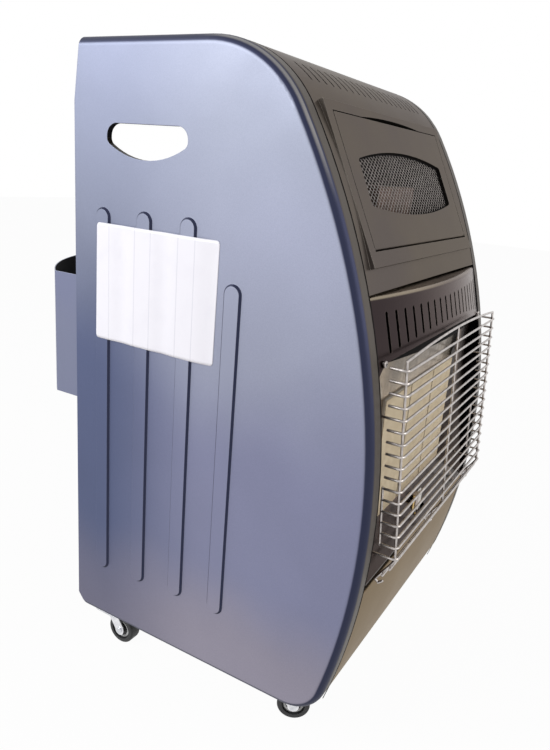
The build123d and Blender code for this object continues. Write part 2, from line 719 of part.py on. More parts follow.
def hood_slot(x):
    """One upright slot; its lower end lies on a shallow arc."""
    low = HOOD_SLOT_LOW_Z - (HOOD_SLOT_RADIUS - math.sqrt(HOOD_SLOT_RADIUS**2 - x**2))
    length = HOOD_SLOT_TOP_Z - low
    middle = Plane(origin=(x, hood_front_y(x, low), low + length / 2), x_dir=(0, 0, 1), z_dir=(0, 1, 0))
    return extrude(middle * SlotOverall(length, HOOD_SLOT_WIDTH), RETURN, both=True)


def screw_at(x, z, y, shank):
    """Pan-head screw that enters a front panel along +Y."""
    head = rod(SCREW_HEAD_RADIUS, (x, y - SCREW_HEAD_HEIGHT, z), (x, y, z))
    head = fillet(head.edges().sort_by(Axis.Y)[0], SCREW_HEAD_HEIGHT / 2)
    return head + rod(SCREW_HEAD_RADIUS / 2, (x, y, z), (x, y + shank, z))


def reflector_hood():
    """Bowed visor with a flat top, end walls, an arched lower edge and upright slots."""
    hood = hood_block(0.0, HOOD_TOP_Z) - hood_block(SHEET, HOOD_TOP_Z - SHEET)
    hood -= arch_cutter()
    first = -HOOD_SLOT_PITCH * (HOOD_SLOT_COUNT - 1) / 2
    for index in range(HOOD_SLOT_COUNT):
        hood -= hood_slot(first + HOOD_SLOT_PITCH * index)
    for side in (-1, 1):
        x = side * HOOD_SCREW_X
        y = hood_front_y(x, HOOD_SCREW_Z)
        radius = SCREW_HEAD_RADIUS / 2 + FIT_GAP
        hood -= rod(radius, (x, y - RETURN, HOOD_SCREW_Z), (x, y + RETURN, HOOD_SCREW_Z))
    return hood


def hood_screws():
    """Two bright screws near the visor's lower corners."""
    screws = []
    for side in (-1, 1):
        x = side * HOOD_SCREW_X
        y = hood_front_y(x, HOOD_SCREW_Z) - FIT_GAP
        screws.append(screw_at(x, HOOD_SCREW_Z, y - SCREW_HEAD_RADIUS / 3, 4 * SHEET))
    return screws


# ---- Lower front panel ----


def lower_front_panel():
    """Sheet below the burners: it follows the bulge and wraps under the cabinet."""
    zone = block(-HALF, HALF, -2 * HALF, TRAY_FRONT_Y - FIT_GAP, 0, LOWER_TOP_Z)
    panel = (skin() + panel_returns()) & zone
    lip_y = belly_y(LOWER_TOP_Z)
    lip = block(-PANEL_HALF, PANEL_HALF, lip_y, lip_y + LOWER_LIP, LOWER_TOP_Z - SHEET, LOWER_TOP_Z)
    panel += lip
    edges = panel.edges().filter_by(Axis.X).filter_by(
        lambda edge: edge.length > PANEL_HALF
        and abs(edge.center().Z - LOWER_TOP_Z) < 0.01
        and edge.center().Y < lip_y + 0.01
    )
    return fillet(edges, LOWER_LIP_ROUND / 3)


# ---- Burners ----


def burner_x(index):
    """X of a burner: index -1, 0 or 1."""
    return index * BURNER_PITCH


def venturi_y():
    return PLAQUE_FACE_Y + VENTURI_BACK


def burner_body(index):
    """Pressed box that holds the plaque at its front, with the mixing tube below it."""
    x = burner_x(index)
    half = (BURNER_PITCH - BURNER_GAP) / 2
    front = PLAQUE_FACE_Y + BURNER_WALL
    back = PLAQUE_FACE_Y + BURNER_DEPTH
    wall = BURNER_WALL
    body = block(x - half, x + half, front, back, BURNER_LOW_Z, BURNER_HIGH_Z)
    body -= block(
        x - half + wall,
        x + half - wall,
        front - wall,
        back - wall,
        BURNER_LOW_Z + wall,
        BURNER_HIGH_Z - wall,
    )
    body += post(VENTURI_RADIUS, x, venturi_y(), VENTURI_LOW_Z, BURNER_LOW_Z + wall)
    body -= post(VENTURI_RADIUS - wall, x, venturi_y(), VENTURI_LOW_Z, BURNER_LOW_Z + 2 * wall)
    return body


def ceramic_plaque(index):
    """Fired ceramic slab with fine holes, here as a plain slab with its margin step."""
    x = burner_x(index)
    half = (BURNER_PITCH - BURNER_GAP) / 2 - BURNER_WALL - PLAQUE_GAP
    back = PLAQUE_FACE_Y + PLAQUE_THICKNESS
    low = BURNER_LOW_Z + BURNER_WALL + PLAQUE_GAP
    high = BURNER_HIGH_Z - BURNER_WALL - PLAQUE_GAP
    return block(x - half, x + half, PLAQUE_FACE_Y, back, low, high)


def burner_rail_top():
    """Angle across the cabinet, over the burner bodies."""
    front = REFLECTOR_BACK_Y + 2 * SHEET
    back = front + RAIL_DEPTH
    low = BURNER_HIGH_Z + PLAQUE_GAP
    half = INNER_HALF - SEAM_GAP
    rail = block(-half, half, front, back, low, low + RAIL_SHEET)
    rail += block(-half, half, back - RAIL_SHEET, back, low, low + RAIL_FLANGE)
    return rail


def burner_rail_bottom():
    """Angle across the cabinet, under the burner bodies, with saddles for the gas manifold."""
    front = REFLECTOR_BACK_Y + 2 * SHEET
    back = front + RAIL_DEPTH
    high = BURNER_LOW_Z - PLAQUE_GAP
    half = INNER_HALF - SEAM_GAP
    low = MANIFOLD_Z - 2 * MANIFOLD_RADIUS
    rail = block(-half, half, front, back, high - RAIL_SHEET, high)
    rail += block(-half, half, back - RAIL_SHEET, back, low, high)
    for side in (-1, 1):
        rail += block(
            side * SADDLE_X - SADDLE_WIDTH / 2,
            side * SADDLE_X + SADDLE_WIDTH / 2,
            venturi_y(),
            back - RAIL_SHEET,
            MANIFOLD_Z - MANIFOLD_RADIUS - 2 * SHEET,
            MANIFOLD_Z + MANIFOLD_RADIUS + 2 * SHEET,
        )
    rail -= rod(
        MANIFOLD_RADIUS + RUNNING_GAP,
        (-2 * SADDLE_X, venturi_y(), MANIFOLD_Z),
        (2 * SADDLE_X, venturi_y(), MANIFOLD_Z),
    )
    for index in (-1, 0, 1):
        rail -= post(VENTURI_RADIUS + SHEET, burner_x(index), venturi_y(), low, high + SHEET)
    pass_radius = MAIN_PIPE_RADIUS + SHEET
    rail -= rod(pass_radius, (MAIN_DROP_X, venturi_y(), MANIFOLD_Z), (MAIN_DROP_X, SHIELD_Y, MANIFOLD_Z))
    return rail


def gas_manifold():
    """Closed tube under the burners, tapped for the three injectors and the main pipe."""
    half = MANIFOLD_LENGTH / 2
    y = venturi_y()
    wall = SHEET
    tube = rod(MANIFOLD_RADIUS, (-half, y, MANIFOLD_Z), (half, y, MANIFOLD_Z))
    tube -= rod(MANIFOLD_RADIUS - wall, (wall - half, y, MANIFOLD_Z), (half - wall, y, MANIFOLD_Z))
    for index in (-1, 0, 1):
        tube -= post(INJECTOR_RADIUS / 2, burner_x(index), y, MANIFOLD_Z, MANIFOLD_Z + 2 * MANIFOLD_RADIUS)
    tube -= rod(MAIN_PIPE_RADIUS / 2, (-half - wall, y, MANIFOLD_Z), (-half + 2 * wall, y, MANIFOLD_Z))
    return tube


def injectors():
    """Three brass jets on the manifold, pointing up into the mixing tubes."""
    jets = []
    y = venturi_y()
    for index in (-1, 0, 1):
        x = burner_x(index)
        seat = MANIFOLD_Z + MANIFOLD_RADIUS + FIT_GAP
        tip = VENTURI_LOW_Z + SHEET
        jet = post(INJECTOR_RADIUS, x, y, seat, tip)
        jet += post(INJECTOR_RADIUS / 2 - FIT_GAP, x, y, MANIFOLD_Z + MANIFOLD_RADIUS / 2, seat)
        jet -= post(INJECTOR_BORE, x, y, MANIFOLD_Z, tip + SHEET)
        jets.append(jet)
    return jets


def reflector_ring(grow, stretch=0.0):
    """Frustum from the burner field out to the opening's edges; stretch is a share added at both ends."""
    half_back = (3 * BURNER_PITCH - BURNER_GAP) / 2 + PLAQUE_GAP + grow
    half_front = PANEL_HALF - 2 * SHEET - FIT_GAP + grow
    low_y, low_z = REFLECTOR_FRONT_LOW
    high_y, high_z = REFLECTOR_FRONT_HIGH
    low_back = Vector(half_back, REFLECTOR_BACK_Y, BURNER_LOW_Z - PLAQUE_GAP - grow)
    high_back = Vector(half_back, REFLECTOR_BACK_Y, BURNER_HIGH_Z + PLAQUE_GAP + grow)
    low_front = Vector(half_front, low_y, low_z - grow)
    high_front = Vector(half_front, high_y, high_z + grow)
    faces = []
    for share in (-stretch, 1.0 + stretch):
        low = low_back + (low_front - low_back) * share
        high = high_back + (high_front - high_back) * share
        ring = [(-low.X, low.Y, low.Z), low, high, (-high.X, high.Y, high.Z)]
        faces.append(make_face(Polyline(*ring, close=True)))
    return loft(faces, ruled=True)


def reflector_box():
    """Polished sheet that flares from the burners to the edges of the opening."""
    box = reflector_ring(SHEET) - reflector_ring(0.0, REFLECTOR_CUT_SHARE)
    for z in guard_fixing_levels():
        for side in (-1, 1):
            x = side * guard_half(z)
            radius = WIRE_RADIUS + FIT_GAP
            box -= rod(radius, (x, REFLECTOR_FRONT_LOW[0], z), (x, REFLECTOR_BACK_Y, z))
    reach = PILOT_SPACING + 2 * PILOT_RADIUS
    box -= block(
        PILOT_X - reach,
        PILOT_X + reach,
        PILOT_Y - 1.5 * PILOT_RADIUS,
        PILOT_Y + 1.5 * PILOT_RADIUS,
        PILOT_SHELF_Z - SHEET,
        PILOT_TOP_Z,
    )
    return box


# ---- Wire guard ----


def wire_level(index):
    """Height of a guard wire, counted from the top."""
    return WIRE_TOP_Z - WIRE_PITCH * index


def guard_share(z):
    """0 at the top wire, 1 at the bottom wire."""
    return (WIRE_TOP_Z - z) / (WIRE_PITCH * (WIRE_COUNT - 1))


def guard_y(z):
    """Y of the wires' front at height z."""
    return GUARD_TOP_Y + (GUARD_BOTTOM_Y - GUARD_TOP_Y) * guard_share(z)


def guard_half(z):
    """Half the guard's width at height z, to the wires' middle."""
    return GUARD_TOP_HALF + (GUARD_BOTTOM_HALF - GUARD_TOP_HALF) * guard_share(z)


def guard_fixing_levels():
    """Heights of the two wires whose legs enter the cabinet."""
    return [wire_level(index) for index in GUARD_FIXING_WIRES]


def wire(points, bend=WIRE_BEND):
    """Round wire along a path with equal bends."""
    path = FilletPolyline(*points, radius=bend)
    start = Plane(origin=path @ 0, z_dir=path % 0)
    return sweep(start * Circle(WIRE_RADIUS), path)


def guard_loop(index):
    """One horizontal wire with its two legs."""
    z = wire_level(index)
    y = guard_y(z)
    half = guard_half(z)
    leg = GUARD_REAR_LEG if index >= GUARD_TIED_WIRES[0] else GUARD_LEG
    end = y + leg
    if index in GUARD_FIXING_WIRES:
        end = GUARD_FIXING_END_Y
    return wire([(-half, end, z), (-half, y, z), (half, y, z), (half, end, z)])


def guard_post_points(side):
    """Points of one corner post, from its upper end to the hook at the bottom."""
    inside = 2 * WIRE_RADIUS
    behind = WELD_SPACING
    top_z = wire_level(0) + GUARD_CORNER_RISE
    low_z = wire_level(WIRE_COUNT - 1) - WIRE_RADIUS * 2
    top = (side * (guard_half(top_z) - inside), guard_y(top_z) + behind, top_z)
    low_x = side * (guard_half(low_z) - inside)
    low = (low_x, guard_y(low_z) + behind, low_z)
    slant = [(low_x, y, z) for y, z in GUARD_SLANT]
    hook = [(low_x, y, z) for y, z in GUARD_HOOK]
    return [top, low] + slant + hook


def slant_wire_places():
    """Y and Z of the wires welded on the front of the posts' slants."""
    places = []
    for (y0, z0), (y1, z1) in zip(GUARD_SLANT, GUARD_SLANT[1:]):
        share = WELD_SPACING / math.hypot(y1 - y0, z1 - z0)
        places.append((y0 + (z1 - z0) * share, z0 - (y1 - y0) * share))
    return places


def polyline_wire(points):
    """Wire of straight runs with round joints, for its tight bends."""
    body = None
    for start, end in zip(points, points[1:]):
        piece = rod(WIRE_RADIUS, start, end)
        body = piece if body is None else body + piece
        body += Pos(*end) * Sphere(WIRE_RADIUS)
    return body


def wire_guard():
    """Welded guard: horizontal wires with legs, an arched top wire and three posts."""
    pieces = [guard_loop(index) for index in range(WIRE_COUNT)]
    left = guard_post_points(-1)
    right = guard_post_points(1)
    crown_z = left[0][2] + GUARD_ARCH_RISE
    crown = (0, left[0][1], crown_z)
    arch = ThreePointArc(left[0], crown, right[0])
    start = Plane(origin=arch @ 0, z_dir=arch % 0)
    pieces.append(sweep(start * Circle(WIRE_RADIUS), arch))
    middle = [(0, y, z) for _, y, z in left]
    middle[0] = crown
    for points in (left, right, middle):
        pieces.append(Pos(*points[0]) * Sphere(WIRE_RADIUS))
        pieces.append(polyline_wire(points))
    x = abs(left[-1][0])
    for y, z in slant_wire_places():
        pieces.append(rod(WIRE_RADIUS, (-x - WIRE_BEND, y, z), (x + WIRE_BEND, y, z)))
    for side in (-1, 1):
        pieces.append(guard_tie(side))
    guard = pieces[0]
    return guard.fuse(*pieces[1:])


def guard_tie(side):
    """Upright wire that joins the ends of the lower legs."""
    first, last = GUARD_TIED_WIRES
    ends = []
    for index in (first, last):
        z = wire_level(index)
        overshoot = WIRE_RADIUS if index == first else -WIRE_RADIUS
        ends.append((side * guard_half(z), guard_y(z) + GUARD_REAR_LEG - WIRE_RADIUS / 2, z + overshoot))
    return rod(WIRE_RADIUS, ends[0], ends[1])


# ---- Inside of the cabinet ----


def heat_shield():
    """Upright sheet between the burners and the cylinder, folded back at both sides."""
    half = INNER_HALF - SEAM_GAP
    low = tray_low() + TRAY_FLANGE + FIT_GAP
    shield = block(-half, half, SHIELD_Y, SHIELD_Y + SHEET, low, SHIELD_HIGH_Z)
    for side in (-1, 1):
        inner = side * (half - SHEET / 2)
        shield += block(
            inner - SHEET / 2,
            inner + SHEET / 2,
            SHIELD_Y,
            SHIELD_Y + SHIELD_FLANGE,
            low,
            SHIELD_HIGH_Z,
        )
    return shield


def outlet_duct():
    """Hot-air box behind the mesh: closed top, open underneath, fixed to the heat shield."""
    back = SHIELD_Y - FIT_GAP
    duct = block(-DUCT_HALF, DUCT_HALF, DUCT_FRONT_Y, back, DUCT_LOW_Z, DUCT_HIGH_Z)
    duct -= block(
        SHEET - DUCT_HALF,
        DUCT_HALF - SHEET,
        DUCT_FRONT_Y + SHEET,
        back - SHEET,
        DUCT_LOW_Z - SHEET,
        DUCT_HIGH_Z - SHEET,
    )
    return duct


def tray_low():
    return BOTTOM_Z + SHEET + FIT_GAP


def base_tray():
    """Floor that the cylinder stands on, turned up at the front and at both sides."""
    low = tray_low()
    half = INNER_HALF - SEAM_GAP
    tray = block(-half, half, TRAY_FRONT_Y, TRAY_REAR_Y, low, low + TRAY_FLANGE)
    tray -= block(
        SHEET - half,
        half - SHEET,
        TRAY_FRONT_Y + SHEET,
        TRAY_REAR_Y + SHEET,
        low + SHEET,
        low + 2 * TRAY_FLANGE,
    )
    corner = pan(SHEET + FIT_GAP, EDGE_ROUND - SHEET)
    corner += mirror(corner, about=Plane.YZ)
    middle = extrude(side_face(SHEET + FIT_GAP), SEAM_X, both=True)
    return tray & (corner + middle)


def rear_upper_panel():
    """Vented rail under the top at the back, with an ear down each side; the back is open below it."""
    rear_zone = block(
        -HALF, HALF, REAR_Y - TOP_LEAN - SHEET, 2 * HALF, REAR_PANEL_LOW_Z, HEIGHT - 2 * SHEET
    )
    panel = skin() & rear_zone
    inner = PANEL_HALF - REAR_EAR_WIDTH
    panel -= block(-inner, inner, 0, 2 * HALF, 0, REAR_RAIL_LOW_Z)
    rise = REAR_RAIL_LOW_Z - (HEIGHT - TOP_LEAN_RISE)
    face_y = REAR_Y - TOP_LEAN * rise / TOP_LEAN_RISE
    panel += block(
        -inner,
        inner,
        face_y - REAR_RAIL_LIP,
        face_y - SHEET / 2,
        REAR_RAIL_LOW_Z,
        REAR_RAIL_LOW_Z + SHEET,
    )
    first = -REAR_PANEL_VENT_PITCH * (REAR_PANEL_VENTS - 1) / 2
    for index in range(REAR_PANEL_VENTS):
        x = first + REAR_PANEL_VENT_PITCH * index
        slot = Plane(origin=(x, REAR_Y, REAR_PANEL_VENT_Z), x_dir=(1, 0, 0), z_dir=(0, -1, 0))
        slot *= SlotOverall(REAR_PANEL_VENT_LENGTH, REAR_PANEL_VENT_WIDTH)
        panel -= extrude(slot, 2 * RETURN, both=True)
    for x, z in rear_screw_places():
        radius = SCREW_HEAD_RADIUS / 2 + FIT_GAP
        panel -= rod(radius, (x, REAR_Y - RETURN, z), (x, REAR_Y + RETURN, z))
    return panel


def rear_screw_places():
    """X and Z of the rear panel's screws."""
    x = PANEL_HALF - 2 * SCREW_HEAD_RADIUS
    low = REAR_PANEL_LOW_Z + RETURN
    high = HEIGHT - TOP_LEAN_RISE - RETURN
    return [(-x, low), (x, low), (-x, high), (x, high)]


def rear_panel_screws():
    """Four screws that hold the rear upper panel."""
    screws = []
    for x, z in rear_screw_places():
        screw = screw_at(x, z, 0, 3 * SHEET)
        screws.append(Pos(0, REAR_Y + RUNNING_GAP, 0) * Rot(0, 0, 180) * Pos(-2 * x, 0, 0) * screw)
    return screws


# ---- Rear cover ----


def hook_levels():
    """Lower edge of each hook's arm, on both sides of the cover."""
    low = COVER_LOW_Z + HOOK_INSET
    high = COVER_HIGH_Z - HOOK_INSET - HOOK_ARM - HOOK_DROP
    return [low, high]


def cover_face(inset, front):
    """Plan of the cover: straight side walls and a curved back."""
    half = COVER_HALF - inset
    wall_end = REAR_Y + COVER_SIDE
    crest = wall_end + COVER_CREST - inset
    outline = Curve() + [
        Line((-half, front), (-half, wall_end)),
        ThreePointArc((-half, wall_end), (0, crest), (half, wall_end)),
        Line((half, wall_end), (half, front)),
        Line((half, front), (-half, front)),
    ]
    return make_face(outline)


def rear_cover():
    """Curved sheet that keeps the cylinder in, with four hooks for the side panels' slots."""
    front = REAR_Y + FIT_GAP
    outer = extrude(Pos(0, 0, COVER_LOW_Z) * cover_face(0.0, front), COVER_HIGH_Z - COVER_LOW_Z)
    inner = extrude(Pos(0, 0, COVER_LOW_Z) * cover_face(SHEET, front), COVER_HIGH_Z - COVER_LOW_Z)
    cover = outer - inner
    arm_start = REAR_Y - SHEET - HOOK_REACH
    leg_end = REAR_Y - SHEET - HOOK_GAP
    for side in (-1, 1):
        wall = side * (COVER_HALF - SHEET)
        edge = wall - side * HOOK_THICKNESS
        x0, x1 = min(wall, edge), max(wall, edge)
        for low_z in hook_levels():
            arm_end = REAR_Y + HOOK_ARM
            cover += block(x0, x1, arm_start, arm_end, low_z, low_z + HOOK_ARM)
            cover += block(x0, x1, arm_start, leg_end, low_z - HOOK_DROP, low_z + HOOK_ARM)
    return cover


# ---- Controls ----


def control_plate():
    """Plastic plate on the flat top, round the knob and the igniter."""
    x0 = KNOB_X - KNOB_RADIUS - PLATE_MARGIN
    x1 = BUTTON_X + COLLAR_RADIUS + PLATE_MARGIN
    depth = 2 * (KNOB_RADIUS + PLATE_MARGIN)
    face = RectangleRounded(x1 - x0, depth, PLATE_CORNER)
    low = HEIGHT + FIT_GAP
    plate = extrude(Pos((x0 + x1) / 2, KNOB_Y, low) * face, PLATE_THICKNESS)
    plate = fillet(plate.faces().sort_by(Axis.Z)[-1].edges(), PLATE_THICKNESS / 3)
    for x, radius in top_holes():
        plate -= post(radius, x, KNOB_Y, HEIGHT, HEIGHT + 2 * PLATE_THICKNESS)
    return plate


def plate_top():
    return HEIGHT + FIT_GAP + PLATE_THICKNESS


def valve_top():
    return HEIGHT - SHEET - FIT_GAP


def gas_valve():
    """Cast valve body under the top, bored for its stem and ported for the pipes."""
    high = valve_top()
    low = high - VALVE_HEIGHT
    body = block(
        KNOB_X - VALVE_WIDTH / 2,
        KNOB_X + VALVE_WIDTH / 2,
        KNOB_Y - VALVE_DEPTH / 2,
        KNOB_Y + VALVE_DEPTH / 2,
        low,
        high - STEM_RADIUS,
    )
    body = chamfer(body.edges().filter_by(Axis.Z), STEM_RADIUS)
    body += post(3 * STEM_RADIUS, KNOB_X, KNOB_Y, high - 2 * STEM_RADIUS, high)
    body -= post(STEM_RADIUS + RUNNING_GAP, KNOB_X, KNOB_Y, stem_bottom() - 2 * STEM_TRAVEL, HEIGHT)
    return body


def stem_bottom():
    return valve_top() - VALVE_HEIGHT / 2


def valve_stem():
    """Spindle that sinks and turns in the valve; a flat on it drives the knob."""
    top = KNOB_TOP_Z - SHEET * 2
    stem = post(STEM_RADIUS, KNOB_X, KNOB_Y, stem_bottom(), top)
    flat = block(
        KNOB_X + STEM_RADIUS / 2,
        KNOB_X + 2 * STEM_RADIUS,
        KNOB_Y - 2 * STEM_RADIUS,
        KNOB_Y + 2 * STEM_RADIUS,
        KNOB_TOP_Z - KNOB_HEIGHT,
        top + SHEET,
    )
    return stem - flat


def control_knob():
    """Round knob with grip ridges, a hollow underside and a hub on the stem."""
    low = KNOB_TOP_Z - KNOB_HEIGHT
    outline = Circle(KNOB_RADIUS - KNOB_GRIP_RADIUS / 2)
    grips = PolarLocations(KNOB_RADIUS - KNOB_GRIP_RADIUS, KNOB_GRIPS)
    outline += grips * Circle(KNOB_GRIP_RADIUS)
    outline = fillet(outline.vertices(), KNOB_GRIP_RADIUS / 3)
    knob = extrude(Pos(KNOB_X, KNOB_Y, low) * outline, KNOB_HEIGHT)
    knob = fillet(knob.faces().sort_by(Axis.Z)[-1].edges(), KNOB_EDGE_ROUND)
    roof = KNOB_TOP_Z - 2 * SHEET
    knob -= post(KNOB_RADIUS - 3 * KNOB_GRIP_RADIUS, KNOB_X, KNOB_Y, low - SHEET, roof)
    knob += post(2 * STEM_RADIUS, KNOB_X, KNOB_Y, low, roof)
    knob -= post(STEM_RADIUS + RUNNING_GAP, KNOB_X, KNOB_Y, low - SHEET, roof + FIT_GAP)
    return knob


def igniter_body():
    """Piezo igniter: barrel below the top, collar above it, bored for the button."""
    low = HEIGHT - IGNITER_LENGTH
    seat = plate_top() + FIT_GAP
    body = post(IGNITER_RADIUS, BUTTON_X, KNOB_Y, low, seat)
    body += post(COLLAR_RADIUS, BUTTON_X, KNOB_Y, seat, COLLAR_TOP_Z)
    body = chamfer(body.edges().sort_by(Axis.Z)[-1], SHEET / 2)
    floor = BUTTON_TOP_Z - 3 * BUTTON_TRAVEL
    body -= post(BUTTON_RADIUS + RUNNING_GAP, BUTTON_X, KNOB_Y, floor, BUTTON_TOP_Z)
    body -= post(BUTTON_RADIUS / 2 + RUNNING_GAP, BUTTON_X, KNOB_Y, low + BUTTON_TRAVEL, BUTTON_TOP_Z)
    return body


def igniter_button():
    """Plunger of the igniter; it strikes when it is pushed in."""
    floor = BUTTON_TOP_Z - 2 * BUTTON_TRAVEL + SHEET
    button = post(BUTTON_RADIUS, BUTTON_X, KNOB_Y, floor, BUTTON_TOP_Z)
    button = fillet(button.edges().sort_by(Axis.Z)[-1], SHEET)
    low = HEIGHT - IGNITER_LENGTH / 2
    return button + post(BUTTON_RADIUS / 2, BUTTON_X, KNOB_Y, low, floor)


def inlet_nozzle():
    """Nozzle at the back of the valve for the gas hose: collar and smooth barrel, bored through."""
    z = valve_top() - VALVE_HEIGHT + NOZZLE_COLLAR_RADIUS + NOZZLE_RISE
    face = (KNOB_X, KNOB_Y + VALVE_DEPTH / 2 + FIT_GAP, z)
    shoulder = (KNOB_X, face[1] + NOZZLE_COLLAR_LENGTH, z)
    end = (KNOB_X, shoulder[1] + NOZZLE_LENGTH, z)
    nozzle = rod(NOZZLE_COLLAR_RADIUS, face, shoulder) + rod(NOZZLE_RADIUS, face, end)
    return nozzle - rod(NOZZLE_BORE, face, end)


# ---- Pilot ----


def pilot_shelf():
    return PILOT_SHELF_Z + RAIL_SHEET


def pilot_burner():
    """Pilot nozzle with its flame hood, on the bracket that hangs from the lower rail."""
    rail_low = BURNER_LOW_Z - PLAQUE_GAP - RAIL_SHEET - FIT_GAP
    reach = PILOT_SPACING + PILOT_RADIUS
    back = REFLECTOR_BACK_Y + 2 * SHEET + RAIL_SHEET
    bracket = block(
        PILOT_X - reach,
        PILOT_X + reach,
        PILOT_Y - PILOT_RADIUS / 2,
        back + RAIL_SHEET,
        PILOT_SHELF_Z,
        pilot_shelf(),
    )
    bracket += block(PILOT_X - reach, PILOT_X + reach, back, back + RAIL_SHEET, PILOT_SHELF_Z, rail_low)
    low = PILOT_SHELF_Z - PILOT_RADIUS
    nozzle = post(PILOT_RADIUS, PILOT_X, PILOT_Y, low, PILOT_TOP_Z)
    hood = block(
        PILOT_X - PILOT_HOOD,
        PILOT_X + PILOT_HOOD,
        PILOT_Y - PILOT_RADIUS / 2,
        PILOT_Y + PILOT_RADIUS,
        PILOT_TOP_Z - SHEET,
        PILOT_TOP_Z,
    )
    pilot = bracket + nozzle + hood
    for x, radius in ((thermocouple_x(), LEAD_RADIUS), (electrode_x(), ELECTRODE_RADIUS)):
        pilot -= post(radius + FIT_GAP, x, PILOT_Y, low, PILOT_TOP_Z + SHEET)
    return pilot


def thermocouple_x():
    return PILOT_X - PILOT_SPACING


def electrode_x():
    return PILOT_X + PILOT_SPACING


def spark_electrode():
    """Ceramic sleeve through the bracket, with its bent wire over the pilot."""
    low = PILOT_SHELF_Z - 2 * ELECTRODE_RADIUS
    high = PILOT_TOP_Z - PILOT_RADIUS
    x = electrode_x()
    tip_z = PILOT_TOP_Z + 2 * SHEET
    sleeve = post(ELECTRODE_RADIUS, x, PILOT_Y, low, high)
    sleeve += post(ELECTRODE_TIP_RADIUS, x, PILOT_Y, high, tip_z)
    sleeve += Pos(x, PILOT_Y, tip_z) * Sphere(ELECTRODE_TIP_RADIUS)
    sleeve += rod(ELECTRODE_TIP_RADIUS, (x, PILOT_Y, tip_z), (PILOT_X + SHEET, PILOT_Y, tip_z))
    return sleeve


# ---- Pipes and leads ----


def tube(points, radius):
    """Round pipe along a path with equal bends."""
    path = FilletPolyline(*points, radius=PIPE_BEND)
    start = Plane(origin=path @ 0, z_dir=path % 0)
    return sweep(start * Circle(radius), path)


def over_the_shield(start, place):
    """First part of a route: forward from the top, over the heat shield, to an upright run.

    place counts the upright runs from the side panel inward."""
    drop_x = MAIN_DROP_X + PIPE_DROP_PITCH * place
    return [
        start,
        (start[0], PIPE_DROP_Y + 2.5 * PIPE_BEND, start[2]),
        (drop_x, PIPE_DROP_Y, start[2]),
    ]


def to_the_pilot(start, place, end):
    """Route from the top down to the pilot's bracket, under the manifold."""
    points = over_the_shield(start, place)
    drop_x = points[-1][0]
    points.append((drop_x, PIPE_DROP_Y, LEAD_LEVEL_Z))
    points.append((end[0], end[1], LEAD_LEVEL_Z))
    points.append(end)
    return points


def valve_port(place):
    """Place of a port in the valve's front face; the levels step down from the top."""
    x = KNOB_X + (place - 1) * PIPE_DROP_PITCH
    z = valve_top() - PORT_DEPTH - PORT_PITCH * place
    return x, KNOB_Y - VALVE_DEPTH / 2 - FIT_GAP, z


def gas_pipe_main():
    """Pipe from the valve to the end of the manifold."""
    points = over_the_shield(valve_port(0), 0)
    drop_x = points[-1][0]
    y = venturi_y()
    points.append((drop_x, PIPE_DROP_Y, MANIFOLD_Z))
    points.append((drop_x, y, MANIFOLD_Z))
    points.append((-MANIFOLD_LENGTH / 2 - FIT_GAP, y, MANIFOLD_Z))
    return tube(points, MAIN_PIPE_RADIUS)


def thermocouple():
    """Thermocouple: its lead from the valve ends in the probe beside the pilot."""
    end = (thermocouple_x(), PILOT_Y, PILOT_TOP_Z + SHEET)
    return tube(to_the_pilot(valve_port(1), 1, end), LEAD_RADIUS)


def gas_pipe_pilot():
    """Thin pipe from the valve to the pilot nozzle."""
    end = (PILOT_X, PILOT_Y, PILOT_SHELF_Z - PILOT_RADIUS - FIT_GAP)
    return tube(to_the_pilot(valve_port(2), 2, end), PILOT_PIPE_RADIUS)


def ignition_lead():
    """Insulated lead from the igniter's barrel to the electrode."""
    start_z = HEIGHT - IGNITER_LENGTH + IGNITER_RADIUS
    start = (BUTTON_X, KNOB_Y - IGNITER_RADIUS - FIT_GAP, start_z)
    end = (electrode_x(), PILOT_Y, PILOT_SHELF_Z - 2 * ELECTRODE_RADIUS - FIT_GAP)
    return tube(to_the_pilot(start, 3, end), LEAD_RADIUS)


# ---- Casters ----


def caster_place(name):
    """Swivel axis and turn of a caster; its own frame has the wheel trailing towards -Y."""
    places = {
        "rear_left": (-REAR_PIVOT[0], REAR_PIVOT[1], 0.0),
        "rear_right": (REAR_PIVOT[0], REAR_PIVOT[1], 0.0),
        "front_left": (-FRONT_PIVOT[0], FRONT_PIVOT[1], FRONT_CASTER_TURN),
        "front_right": (FRONT_PIVOT[0], FRONT_PIVOT[1], -FRONT_CASTER_TURN),
    }
    x, y, turn = places[name]
    return Pos(x, y, 0) * Rot(0, 0, turn)


CASTERS = ("front_left", "front_right", "rear_left", "rear_right")


def plate_low():
    return BOTTOM_Z - FIT_GAP - CASTER_PLATE_THICKNESS


def crown_top():
    return plate_low() - CASTER_BOSS - SWIVEL_GAP


def caster_plates():
    """Top plates of the four casters, each with its swivel race and screw holes."""
    plates = []
    for name in CASTERS:
        square = RectangleRounded(CASTER_PLATE, CASTER_PLATE, CASTER_PLATE / 8)
        plate = extrude(Pos(0, 0, plate_low()) * square, CASTER_PLATE_THICKNESS)
        plate += post(FORK_CROWN_RADIUS - SHEET, 0, 0, plate_low() - CASTER_BOSS, plate_low())
        plate -= post(KINGPIN_RADIUS + RUNNING_GAP, 0, 0, 0, BOTTOM_Z)
        for x, y in caster_screw_places():
            plate -= post(CASTER_SCREW_RADIUS + FIT_GAP, x, y, 0, BOTTOM_Z)
        x, y, _ = caster_place(name).position
        plates.append(Pos(x, y, 0) * plate)
    return plates


def caster_screw_places():
    """Screws of one caster plate, from its swivel axis."""
    reach = CASTER_PLATE / 2 - CASTER_SCREW_INSET
    return [(-reach, -reach), (-reach, reach), (reach, -reach), (reach, reach)]


